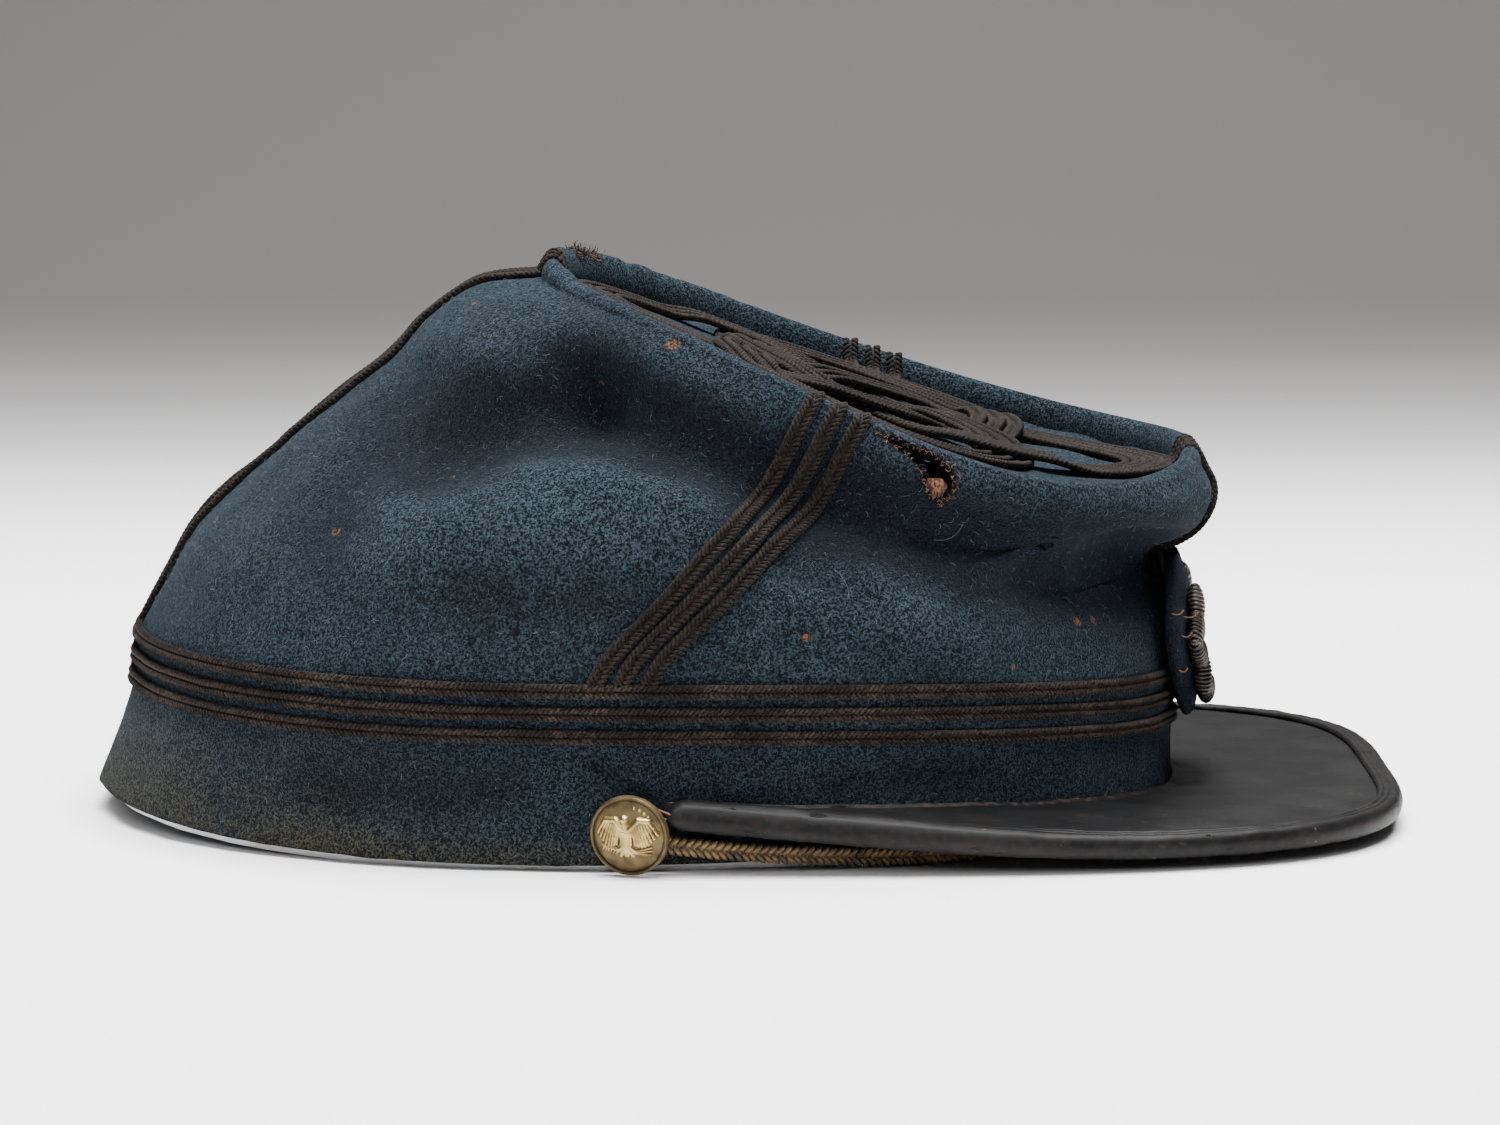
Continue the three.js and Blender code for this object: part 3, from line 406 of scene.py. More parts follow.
# %% Folds and dents
FOLD_COLUMNS = ("side", "from_x", "from_z", "to_x", "to_z", "width", "depth")
FOLDS = [
    (-1, -0.36, 0.73, -0.08, 0.84, 0.85, -0.7),
    (-1, -0.08, 0.84, 0.22, 0.7, 0.8, -0.7),
    (-1, -0.36, 0.61, 0.1, 0.63, 1, 0.26),
    (-1, -0.42, 0.82, -0.52, 0.6, 0.6, -0.22),
    (-1, -0.28, 0.48, 0.02, 0.47, 0.7, -0.18),
    (-1, 0.36, 0.64, 0.92, 0.49, 1, -0.85),
    (-1, 0.34, 0.6, 0.5, 0.45, 0.6, 0.16),
    (-1, -0.53, 0.13, -0.23, 0.14, 0.5, -0.16),
    (-1, 0.35, 0.15, 0.6, 0.15, 0.45, -0.1),
    (1, -0.4, 0.7, 0.1, 0.75, 1, -0.4),
    (1, 0.4, 0.62, 0.92, 0.49, 1, -0.48),
    (1, -0.6, 0.74, -0.46, 0.86, 0.7, 0.34),
    (1, -0.3, 0.5, 0.2, 0.48, 0.9, 0.18),
]
CREASES = [
    (-1, 0.53, 0.6, 0.8, 0.46, 0.36, -0.16),
    (-1, 0.5, 0.7, 0.95, 0.6, 0.5, 0.12),
    (-1, 0.24, 0.56, 0.46, 0.45, 0.34, -0.12),
    (-1, 0.3, 0.5, 0.6, 0.38, 0.5, 0.1),
    (-1, -0.62, 0.58, -0.44, 0.42, 0.5, -0.08),
    (-1, -0.2, 0.71, 0.12, 0.66, 0.36, 0.1),
    (-1, -0.3, 0.9, -0.14, 0.87, 0.4, 0.1),
    (-1, -0.05, 0.19, 0.02, 0.13, 0.2, -0.12),
    (-1, -0.7, 0.1, -0.5, 0.12, 0.5, -0.08),
    (-1, 0.4, 0.24, 0.8, 0.2, 0.5, 0.06),
    (1, 0.1, 0.6, 0.5, 0.5, 0.5, -0.14),
    (1, -0.6, 0.5, -0.3, 0.4, 0.7, -0.12),
    (1, -0.3, 0.14, 0.3, 0.12, 0.5, -0.12),
    (1, 0.5, 0.66, 0.9, 0.58, 0.4, 0.1),
]


def fold_depth(at, angle, t):
    side = np.sin(angle)
    edges = np.where(t < 0, smooth(-t, 0, 0.2), smooth(t, 0, 0.14) * smooth(1 - t, 0, 0.14))
    here = at[..., [0, 2]]
    depth = np.zeros(here.shape[:-1])
    for row in FOLDS + CREASES:
        fold = dict(zip(FOLD_COLUMNS, row))
        start = np.array([fold["from_x"] * RIM["front"], fold["from_z"] * CROWN["rear_up"]])
        line = np.array([fold["to_x"] * RIM["front"], fold["to_z"] * CROWN["rear_up"]]) - start
        share = np.clip(((here - start) @ line) / (line @ line), 0, 1)
        away = np.linalg.norm(here - start - share[..., None] * line, axis=-1)
        reach = fold["width"] * FOLD_REACH
        pull = fold["depth"] * FOLD_REACH * np.exp(-((away / reach) ** 2))
        depth += np.where(fold["side"] * side > 0, pull, 0)
    return depth * edges * smooth(np.abs(side), 0, 0.4)


def ripples(points, size, seed, waves=18):
    """A soft random field: a sum of plane waves, from about -1 to 1."""
    rng = np.random.default_rng(seed)
    ways = unit(rng.normal(size=(waves, 3))) * rng.uniform(0.6, 1.6, (waves, 1)) * 2 * np.pi / size
    starts = rng.uniform(0, 2 * np.pi, waves)
    return np.sin(points @ ways.T + starts).sum(-1) / math.sqrt(waves)


def wall(angle, t):
    """The cloth's outer face in millimetres, with its folds and a slight unevenness."""
    at = plain_wall(angle, t)
    t = np.broadcast_to(np.asarray(t, float), at.shape[:-1])
    angle = np.broadcast_to(np.asarray(angle, float), at.shape[:-1])
    uneven = 0.28 * ripples(at, 26, 1) + 0.1 * ripples(at, 9, 2)
    calm = smooth(np.abs(t), 0, 0.12) * smooth(1 - t, 0, 0.1)
    depth = fold_depth(at, angle, t) + uneven * calm
    return at + normal_of(plain_wall, angle, t) * depth[..., None]


# %% The crown's rolled edge and its disc


def inwards_of(angle):
    along = on_ring(CROWN, angle + 0.01) - on_ring(CROWN, angle - 0.01)
    return unit(np.stack([-along[..., 1], along[..., 0], 0 * along[..., 0]], -1))


def roll_rise(angle):
    return mixed(ROLL_RISE_RIGHT, ROLL_RISE_LEFT, smooth(oval(angle)[1], -1, 0.3))


def roll_point(angle, turn):
    angle, turn = np.broadcast_arrays(np.asarray(angle, float), np.asarray(turn, float))
    across = ROLL_WIDTH / 2 * (1 - np.cos(turn))
    at = on_ring(CROWN, angle) + inwards_of(angle) * across[..., None]
    at[..., 2] += roll_rise(angle) * np.sin(turn)
    return at


def roll_normal(angle, turn):
    angle, turn = np.broadcast_arrays(np.asarray(angle, float), np.asarray(turn, float))
    normal = inwards_of(angle) * (-np.cos(turn) / (ROLL_WIDTH / 2))[..., None]
    normal[..., 2] = np.sin(turn) / roll_rise(angle)
    return unit(normal)


def disc_height(x, y):
    reach = np.where(x > CROWN["middle"], CROWN["front"] - CROWN["middle"], CROWN["middle"] - CROWN["rear"])
    c, s = (x - CROWN["middle"]) / reach, y / CROWN["wide"]
    sag = DISC_SAG * np.maximum(0, 1 - c * c - s * s)
    return height_of(CROWN, c, s) - DISC_RECESS - sag


def off_wall(angle, t, distance):
    return wall(angle, t) + normal_of(wall, angle, t) * distance


def band_share(angle, length):
    return length / (on_ring(SEAM, angle)[..., 2] - on_ring(RIM, angle)[..., 2])


# %% [markdown]
# ## Meshes from rows of points
# Every shell and strand below is a grid: rows of points, joined to the next row by
# quads. One function makes such a piece, in metres, at the place where the solids are. It
# also says which CAD node the piece stands for and which finish it takes.

# %% Making a piece
SHIFT_MM = 1000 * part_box("band")[1][0] - RIM["front"]
print("the solids lie", round(SHIFT_MM, 2), "mm along X from the rim's own middle")


def to_metres(points):
    return (np.asarray(points, float) + (SHIFT_MM, 0, 0)) * 0.001


def new_mesh(name, points, faces=(), finish=None, edges=()):
    """A mesh in metres from points in millimetres."""
    mesh = bpy.data.meshes.new(name)
    places = to_metres(points).reshape(-1, 3).tolist()
    mesh.from_pydata(places, list(edges), [list(face) for face in faces])
    if finish:
        mesh.materials.append(finish)
    return mesh


def add_vectors(mesh, name, vectors):
    layer = mesh.attributes.new(name, "FLOAT_VECTOR", "POINT")
    layer.data.foreach_set("vector", np.asarray(vectors, float).ravel())


def new_piece(name, points, faces, finish, nodes=(), attributes=None):
    mesh = new_mesh(name, points, faces, finish)
    for label, values in (attributes or {}).items():
        layer = mesh.attributes.new(label, "FLOAT", "POINT")
        layer.data.foreach_set("value", np.asarray(values, float).ravel())
    mesh.shade_smooth()
    piece = linked(name, mesh)
    settle(piece, nodes)
    return piece


def settle(piece, nodes=()):
    if nodes:
        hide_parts(*nodes)
    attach(piece, "root")


def grid_faces(rows, across, wrap_rows=False, wrap_across=True, first=0):
    """Quads between the points of a grid, which may close in either direction."""
    i = np.arange(rows if wrap_rows else rows - 1)[:, None]
    j = np.arange(across if wrap_across else across - 1)[None, :]
    a = i * across + j
    b = i * across + (j + 1) % across
    c = ((i + 1) % rows) * across + (j + 1) % across
    d = ((i + 1) % rows) * across + j
    return (np.stack([a, b, c, d], -1).reshape(-1, 4) + first).astype(int)


def capped_tube(sections, closed=False):
    """Points and faces of a tube through sections, with a fan at each open end."""
    rows, across = sections.shape[:2]
    points = sections.reshape(-1, 3)
    faces = grid_faces(rows, across, wrap_rows=closed).tolist()
    if not closed:
        faces.append(list(range(across))[::-1])
        faces.append([(rows - 1) * across + j for j in range(across)])
    return points, faces


def grow(path, tree, **inputs):
    """Runs a tree of Geometry Nodes on an object and gives the plain mesh that comes out."""
    modifier = path.modifiers.new("nodes", "NODES")
    modifier.node_group = tree
    for item in tree.interface.items_tree:
        if item.item_type == "SOCKET" and item.in_out == "INPUT" and item.name in inputs:
            modifier[item.identifier] = inputs[item.name]
    graph = bpy.context.evaluated_depsgraph_get()
    graph.update()
    mesh = bpy.data.meshes.new_from_object(path.evaluated_get(graph))
    bpy.data.objects.remove(path)
    return mesh


def new_tree(name, takes, sizes, gives):
    """A tree of Geometry Nodes, made ready for Wire, and the wires of its inputs by name."""
    tree = bpy.data.node_groups.new(name, "GeometryNodeTree")
    socket = tree.interface.new_socket
    socket(takes, in_out="INPUT", socket_type="NodeSocketGeometry")
    for size, value in sizes.items():
        kind = "NodeSocketInt" if isinstance(value, int) else "NodeSocketFloat"
        socket(size, in_out="INPUT", socket_type=kind).default_value = value
    socket("Material", in_out="INPUT", socket_type="NodeSocketMaterial")
    socket(gives, in_out="OUTPUT", socket_type="NodeSocketGeometry")
    Wire.tree = tree
    return tree, {s.name: Wire(s) for s in tree.nodes.new("NodeGroupInput").outputs}


def give(tree, geometry, finish):
    """Ends a tree: its geometry takes the finish and goes out."""
    painted = Wire.node("GeometryNodeSetMaterial", None, {"Geometry": geometry, "Material": finish})
    tree.links.new(painted.socket, tree.nodes.new("NodeGroupOutput").inputs[0])
    return tree


def named(name):
    return Wire.node("GeometryNodeInputNamedAttribute", {"data_type": "FLOAT_VECTOR"}, {"Name": name})


def vector(x, y, z):
    return Wire.node("ShaderNodeCombineXYZ", None, {"X": x, "Y": y, "Z": z})


def put_right(piece):
    """Turns a closed piece's faces outwards."""
    shell = bmesh.new()
    shell.from_mesh(piece.data)
    bmesh.ops.recalc_face_normals(shell, faces=shell.faces)
    shell.to_mesh(piece.data)
    shell.free()
    piece.data.shade_smooth()


# %% [markdown]
# ## The wool
# The cloth is a felted broadcloth: short fibres lie flat over the weave, so it is nearly matt, with a faint
# sheen and a fine speckle. It is lighter on what sticks out, partly faded and partly as painted light, and
# darker in the valleys of its folds as painted shade. It holds dust in its nap low at the back, and moths
# have bared the tan threads under the nap here and there.

# %% Where the cloth is worn through
# Each row: degrees round the cap, level, size in millimetres, and 1 for a hole painted near-black as its
# shade.
SPOTS = [
    (-124, 0.985, 2.6, 0), (-161.5, 0.88, 1.4, 0), (-176, 0.37, 2.0, 0), (-139, 0.35, 1.9, 0),
    (-129.5, 0.88, 1.2, 0), (-133.5, 0.56, 1.2, 0), (-74.5, 0.25, 1.5, 0), (-37, 0.29, 2.0, 0),
    (-33, 0.28, 1.8, 0), (-48.5, 0.11, 1.2, 0), (-109.5, 0.15, 1.3, 1), (-105.5, 0.19, 1.5, 1),
    (-130.5, 0.11, 1.0, 1), (60, 0.3, 1.6, 0), (115, 0.5, 1.3, 0), (140, 0.7, 1.5, 0),
]
# The gap in the roll, painted near-black as the shade inside it: degrees round the cap, turn over the roll,
# size in millimetres.
ROLL_GAP = (156, 1.6, 2.6)


def worn_spots(at):
    """Where the nap is gone: bared threads, and holes painted dark as their shade."""
    edge = noise(at, 1100, 4.0, 0.8) * 3.0
    bare, dark = 0.0, 0.0
    for degrees, level, size, is_dark in SPOTS:
        centre = tuple(to_metres(wall(math.radians(degrees), level)))
        ragged = band_pass(spot(at, centre, size / 1000) + edge, 2.15, 2.45)
        if is_dark:
            dark = ragged + dark
        else:
            bare = ragged + bare
    degrees, turn, size = ROLL_GAP
    gap = tuple(to_metres(roll_point(np.radians([degrees]), turn)[0]))
    dark = band_pass(spot(at, gap, size / 1000) + edge, 1.6, 1.9) + dark
    return bare, dark


def wool_paint():
    at = place()
    nap = noise(at, 2100, 2.5, 0.7)
    fine = noise(at, 5200, 1.0)
    patches = noise(at, 34, 4.0)
    speckle = band_pass(nap * 0.8 + fine * 0.2, 0.43, 0.58)
    # The wear and painted shade value: deep is the painted shade of the folds' valleys, proud the faded,
    # partly painted-light navy of what sticks out.
    worn = attribute("wear_and_fold_shade") + patches * 0.5 - 0.25
    deep = blend(speckle, (0.0003, 0.0004, 0.0008), (0.0065, 0.0090, 0.0125))
    proud = blend(speckle, (0.0012, 0.0028, 0.0048), (0.036, 0.054, 0.067))
    navy = blend(band_pass(worn, 0.05, 0.72), deep, proud)
    dusty_tone = blend(speckle, (0.006, 0.0052, 0.0034), (0.050, 0.043, 0.026))
    dusty = blend(attribute("dust") * band_pass(patches + nap * 0.3, 0.35, 0.75), navy, dusty_tone)
    lint = noise(stretched(at, (1, 1, 0.35)), 4200, 1.0)
    flecked = blend(band_pass(lint, 0.70, 0.78) * 0.5, dusty, (0.14, 0.17, 0.18))
    bare, dark = worn_spots(at)
    threads = band_pass(noise(stretched(at, (1, 1, 0.12)), 1900, 1.0), 0.42, 0.56)
    thread_tone = blend(fine, (0.07, 0.026, 0.010), (0.24, 0.115, 0.055))
    bared = blend(bare * (0.1 + 0.9 * threads), flecked, thread_tone)
    fuzz = bump(nap, 0.0009, 0.9)
    grain = bump(fine, 0.0002, 0.5, fuzz)
    return {
        # The holes and the roll's gap take a near-black colour: painted shade.
        "Base Color": blend(dark, bared, (0.002, 0.002, 0.003)),
        "Roughness": 0.95,
        "Specular IOR Level": 0.06,
        "Sheen Weight": 0.07,
        "Sheen Roughness": 0.55,
        "Sheen Tint": (0.35, 0.5, 0.65),
        "Normal": bump(bare + dark, -0.0004, 0.8, grain),
    }


wool = material("navy wool", wool_paint)

# %% [markdown]
# The band and the wall above it are closed shells, an outer face and a lining two millimetres inside it. Dust
# and a value of wear and painted shade are worked out at each vertex: dust low at the back, fading along the
# rolled edge, lighter colour on whatever the folds push out that is partly fading and partly painted light,
# and darker colour in the folds' valleys that is painted shade.

# %% The cloth shells
AROUND = 400


def cloth_attributes(points, folds):
    x, y, z = np.moveaxis(points, -1, 0)
    low = smooth(-x, 20, 105) * smooth(-z, -34, -4) + 0.8 * smooth(-z, -9, -1)
    roll = smooth(z - on_ring(CROWN, np.arctan2(y, x - CROWN["middle"]))[..., 2], -2, 3)
    # The fold term paints shade into the valleys and, along with some fading, light where the folds push out.
    wear_and_fold_shade = 0.42 + 0.1 * roll + np.where(folds < 0, folds * 0.085, folds * 0.1)
    return {"dust": np.clip(low, 0, 1), "wear_and_fold_shade": np.clip(wear_and_fold_shade, 0, 1)}


def cloth_shell(name, outer, inner, between=None):
    angle = all_round(AROUND)
    rows = [wall(angle, t) for t in outer]
    folds = [fold_depth(plain_wall(angle, t), angle, np.full(AROUND, t)) for t in outer]
    extra = (between(angle) if between else []) + [off_wall(angle, t, -WALL) for t in inner]
    folds += [0 * angle for _ in extra]
    points = np.array(rows + extra)
    faces = grid_faces(len(points), AROUND, wrap_rows=True)
    attributes = cloth_attributes(points, np.array(folds))
    piece = new_piece(name, points, faces, wool, [name], attributes)
    put_right(piece)
    return piece


def rolled_edge(angle):
    turns = np.linspace(0, math.pi, 15)[1:]
    pucker = 0.35 * ripples(on_ring(CROWN, angle), 7, 3) * smooth(-oval(angle)[0], 0.2, 0.9)
    rows = []
    for turn in turns:
        lifted = (pucker * math.sin(turn))[:, None]
        rows.append(roll_point(angle, turn) + roll_normal(angle, turn) * lifted)
    lip = rows[-1].copy()
    lip[:, 2] -= 3
    return rows + [lip]


band = cloth_shell("band", np.linspace(-1, -0.005, 34), np.linspace(-0.005, -1, 12))
crown_side = cloth_shell("crown_side", np.linspace(0.004, 1, 86), np.linspace(0.84, 0.004, 26), rolled_edge)
print("cloth faces:", len(band.data.polygons), len(crown_side.data.polygons))

# %% [markdown]
# ## The tear
# On the right the cloth has torn open at the crown's edge. The hole is cut with its own
# outline: a ragged plug is made along the cloth's normal and taken away with a Boolean
# modifier, so both the outer face and the lining are cut through.

# %% The hole's outline
# Each row: degrees round the cap, and level.
TEAR = [
    (-90.0, 1.0), (-88.2, 0.99), (-87.5, 0.995), (-86.0, 1.0), (-83.6, 0.99), (-81.5, 0.995),
    (-79.5, 0.98), (-77.5, 0.96), (-76.0, 0.925), (-75.5, 0.89), (-76.5, 0.88), (-78.0, 0.89),
    (-80.0, 0.91), (-81.0, 0.93), (-83.5, 0.955), (-86.0, 0.965), (-87.5, 0.975),
]
# Each row: the plug's size as a share of the outline, and millimetres off the cloth.
PLUG = [(1.12, 3), (1.12, 0), (1.1, -5), (1.0, -9)]


def tear_ring(grow_by, distance):
    outline = np.array(TEAR)
    centre = outline.mean(0)
    at = centre + (outline - centre) * grow_by
    angle, level = np.radians(at[:, 0]), np.minimum(at[:, 1], 0.999)
    return off_wall(angle, level, distance)


def cut_tear(shell):
    # The plug's walls that stay in the cut take a near-black finish: painted shade inside the tear.
    lining = material("shadowed lining", plain_paint((0.0015, 0.0012, 0.001), 1.0))
    sections = np.array([tear_ring(size, distance) for size, distance in PLUG])
    cutter = linked("plug", new_mesh("plug", *capped_tube(sections), lining))
    put_right(cutter)
    cut = shell.modifiers.new("tear", "BOOLEAN")
    cut.operation = "DIFFERENCE"
    cut.solver = "EXACT"
    cut.material_mode = "TRANSFER"
    cut.object = cutter
    graph = bpy.context.evaluated_depsgraph_get()
    graph.update()
    torn = bpy.data.meshes.new_from_object(shell.evaluated_get(graph))
    before = len(shell.data.polygons)
    shell.modifiers.clear()
    shell.data = torn
    torn.shade_smooth()
    bpy.data.objects.remove(cutter)
    print("tear: faces before and after", before, len(torn.polygons))


cut_tear(crown_side)

# %% [markdown]
# Loose ends and lint are fibres scattered on a surface. Geometry Nodes put one bent fibre
# at random points, turn each by chance and vary its size, with a fixed seed so that the
# result is the same each time.

# %% Fibres on a surface


FIBRE = {"Density": 100000.0, "Length": 0.002, "Thickness": 0.00004, "Rise": 0.0003, "Tilt": 0.25, "Seed": 0}


def fibre_tree():
    tree, value = new_tree("fibres on a surface", "Surface", FIBRE, "Fibres")
    scatter = tree.nodes.new("GeometryNodeDistributePointsOnFaces")
    for name, source in (("Mesh", "Surface"), ("Density", "Density"), ("Seed", "Seed")):
        tree.links.new(value[source].socket, scatter.inputs[name])

    def chance(low, high, more):
        settings = {"data_type": "FLOAT_VECTOR"}
        return Wire.node("FunctionNodeRandomValue", settings, {0: low, 1: high, "Seed": value["Seed"] + more})

    tilt = value["Tilt"]
    turned = chance(vector(tilt * -1.0, tilt * -1.0, -math.pi), vector(tilt, tilt, math.pi), 1)
    spin = Wire.node("FunctionNodeEulerToRotation", None, {0: turned})
    both = {0: Wire(scatter.outputs["Rotation"]), 1: spin}
    turn = Wire.node("FunctionNodeRotateRotation", {"rotation_space": "LOCAL"}, both)
    length, rise = value["Length"], value["Rise"]
    ends = {
        "Resolution": 4,
        "Start": (0.0, 0.0, 0.0),
        "Middle": vector(length * 0.55, length * 0.3, rise * 2.0),
        "End": vector(length, length * -0.15, rise * 0.5),
    }
    bow = Wire.node("GeometryNodeCurveQuadraticBezier", None, ends)
    round_wire = {"Resolution": 3, "Radius": value["Thickness"]}
    section = Wire.node("GeometryNodeCurvePrimitiveCircle", None, round_wire)
    tube = {"Curve": bow, "Profile Curve": section, "Fill Caps": True}
    fibre = Wire.node("GeometryNodeCurveToMesh", None, tube)
    size = chance((0.35, 0.2, 0.4), (1.5, 1.6, 1.4), 2)
    laid = {"Points": Wire(scatter.outputs["Points"]), "Instance": fibre, "Rotation": turn, "Scale": size}
    fibres = Wire.node("GeometryNodeInstanceOnPoints", None, laid)
    real = Wire.node("GeometryNodeRealizeInstances", None, {"Geometry": fibres})
    return give(tree, real, value["Material"])


FIBRE_TREE = fibre_tree()


def scatter_fibres(name, rows, finish, **sizes):
    """Fibres on a grid of points, as one piece."""
    points = np.array(rows)
    ground = linked("ground", new_mesh("ground", points, grid_faces(*points.shape[:2], wrap_across=False)))
    made = grow(ground, FIBRE_TREE, Material=finish, **sizes)
    made.shade_smooth()
    settle(linked(name, made))
    print(name, "faces:", len(made.polygons))


# %% Lint on the wool
pale_lint = material("pale lint", plain_paint((0.10, 0.125, 0.14)))
tan_thread = material("tan thread", plain_paint((0.17, 0.092, 0.05)))
dark_thread = material("dark thread", plain_paint((0.010, 0.011, 0.014)))
full_turn = np.linspace(0, 2 * np.pi, 121)
upper = [wall(full_turn, t) for t in np.linspace(0.06, 0.97, 20)]
lower = [wall(full_turn, t) for t in np.linspace(-0.95, -0.5, 6)]
short = {"Density": 110000.0, "Length": 0.0011, "Thickness": 0.000026}
long = {"Density": 450.0, "Length": 0.005, "Thickness": 0.000038, "Rise": 0.0005}
scatter_fibres("lint", upper, pale_lint, Seed=3, **short)
scatter_fibres("lint_on_band", lower, pale_lint, Seed=4, **short)
scatter_fibres("long_hairs", upper, pale_lint, Seed=5, **long)

# %% Frayed edges
# Each row: name, outer size, finish, fibres on a square metre, length in metres and seed.
FRAYS = [
    ("tear_frays", 1.2, tan_thread, 4500000.0, 0.0009, 11),
    ("tear_wisps", 1.25, dark_thread, 5000000.0, 0.0012, 12),
]
for name, outer_size, finish, density, length, seed in FRAYS:
    lips = [tear_ring(1.1, -0.5), tear_ring(1.12, 0.0), tear_ring(outer_size, 0.1)]
    lips = [np.concatenate([lip, lip[:1]]) for lip in lips]
    scatter_fibres(name, lips, finish, Density=density, Length=length, Thickness=0.00006, Tilt=0.9, Seed=seed)

# %% The scrap of lining that shows in the tear
# Each pair: degrees round the cap, and level.
SCRAP = [(-79.0, 0.91), (-77.4, 0.925), (-75.8, 0.91), (-75.2, 0.88), (-76.6, 0.868), (-78.0, 0.88)]


def ragged_paint():
    threads = noise(stretched(place(), (1, 1, 0.2)), 2600, 2.0)
    tone = blend(band_pass(threads, 0.4, 0.62), (0.05, 0.018, 0.008), (0.24, 0.11, 0.05))
    return {"Base Color": tone, "Roughness": 0.9, "Normal": bump(threads, 0.0004)}


def make_scrap():
    outline = np.array(SCRAP)
    rows = []
    for size, depth in ((0.05, -1.7), (1.0, -1.2), (1.0, -2.0), (0.05, -2.4)):
        at = outline.mean(0) + (outline - outline.mean(0)) * size
        rows.append(off_wall(np.radians(at[:, 0]), at[:, 1], depth))
    points, faces = capped_tube(np.array(rows))
    ragged = material("ragged lining", ragged_paint)
    put_right(new_piece("tear_scrap", points, faces, ragged))


make_scrap()

# %% The torn roll at the back of the crown
ROLL_TEAR_DEGREES = (161, 150)
torn = np.radians(np.linspace(*ROLL_TEAR_DEGREES, 9))
rows = [roll_point(torn, turn) + roll_normal(torn, turn) * 0.1 for turn in (0.9, 1.4, 2.0, 2.5)]
tuft = {"Thickness": 0.00006, "Tilt": 0.9, "Rise": 0.0006}
scatter_fibres("roll_frays", rows, tan_thread, Density=2600000.0, Length=0.0013, Seed=21, **tuft)
scatter_fibres("roll_wisps", rows, dark_thread, Density=5000000.0, Length=0.0016, Seed=22, **tuft)

# %% The sunken disc


def make_disc():
    angle = all_round(240)
    edge = on_ring(CROWN, angle) + inwards_of(angle) * (ROLL_WIDTH - 0.2)
    centre = np.array([(CROWN["front"] + CROWN["rear"]) / 2, 0])
    rows = []
    for share, drop in [(s, 0) for s in np.linspace(0.01, 1, 46)] + [(1, 2), (0.5, 2), (0.01, 2)]:
        plan = centre + (edge[:, :2] - centre) * share
        up = disc_height(plan[:, 0], plan[:, 1]) - drop
        flat = np.stack([plan[:, 0], plan[:, 1], up], -1)
        flat[:, 2] += 0.35 * ripples(flat, 22, 4) * (drop == 0)
        rows.append(flat)
    points, faces = capped_tube(np.array(rows))
    wear_and_fold_shade = np.full(len(points), 0.45)
    worn = {"wear_and_fold_shade": wear_and_fold_shade, "dust": 0 * wear_and_fold_shade}
    new_piece("crown_disc", points, faces, wool, ["crown_disc"], worn)


make_disc()

# %% [markdown]
# ## Plaited braid
# The braid is a narrow soutache: two ribs of slanting strands that meet in a groove, like a
# plait. Modelling each strand by hand would take days. Geometry Nodes set one small strand
# at even steps along the braid's path, once for each rib and leaning the other way.

# %% A plait along a path
# The step between strands, the ribs' distance from the middle and a strand's size, in metres,
# and its lean in radians.
PLAIT = dict(Step=0.00102, Rib=0.00088, Length=0.0024, Width=0.00092, Height=0.00125, Lean=0.72)
NARROW = PLAIT | dict(Step=0.00092, Rib=0.00073, Length=0.0021, Width=0.0008)
WIDE = PLAIT | dict(Rib=0.00097, Length=0.0026, Width=0.00105)
CORD_PLAIT = dict(Step=0.0014, Rib=0.0008, Length=0.003, Width=0.0013, Height=0.0022, Lean=0.75)


def plait_tree():
    tree, value = new_tree("plait along a path", "Path", PLAIT, "Plait")
    curve = Wire.node("GeometryNodeMeshToCurve", None, {"Mesh": value["Path"]})
    every_step = {"Curve": curve, "Length": value["Step"]}
    spaced = Wire.node("GeometryNodeResampleCurve", {"mode": "LENGTH"}, every_step)
    axes = {"Primary Axis": Wire.node("GeometryNodeInputTangent"), "Secondary Axis": named("out")}
    turn = Wire.node("FunctionNodeAxesToRotation", {"primary_axis": "X", "secondary_axis": "Z"}, axes)
    strand = Wire.node("GeometryNodeMeshUVSphere", None, {"Segments": 6, "Rings": 4, "Radius": 0.5})
    size = vector(value["Length"], value["Width"], value["Height"])
    ribs = []
    for side, step in ((1, 0.0), (-1, 0.5)):
        shaped = Wire.node("GeometryNodeTransform", None, {"Geometry": strand, "Scale": size})
        lean = vector(0.0, 0.0, value["Lean"] * side)
        aside = vector(value["Step"] * step, value["Rib"] * side, 0.0)
        leaning = {"Geometry": shaped, "Rotation": lean, "Translation": aside}
        leant = Wire.node("GeometryNodeTransform", None, leaning)
        laid = {"Points": spaced, "Instance": leant, "Rotation": turn}
        ribs.append(Wire.node("GeometryNodeInstanceOnPoints", None, laid))
    both = tree.nodes.new("GeometryNodeJoinGeometry")
    for rib in ribs:
        tree.links.new(rib.socket, both.inputs[0])
    real = Wire.node("GeometryNodeRealizeInstances", None, {"Geometry": Wire(both.outputs[0])})
    rounded = Wire.node("GeometryNodeSetShadeSmooth", None, {"Geometry": real})
    return give(tree, rounded, value["Material"])


PLAIT_TREE = plait_tree()


def path_object(points, outs, closed):
    count = len(points)
    edges = [(i, i + 1) for i in range(count - 1)] + ([(count - 1, 0)] if closed else [])
    mesh = new_mesh("path", points, edges=edges)
    add_vectors(mesh, "out", outs)
    return linked("path", mesh)


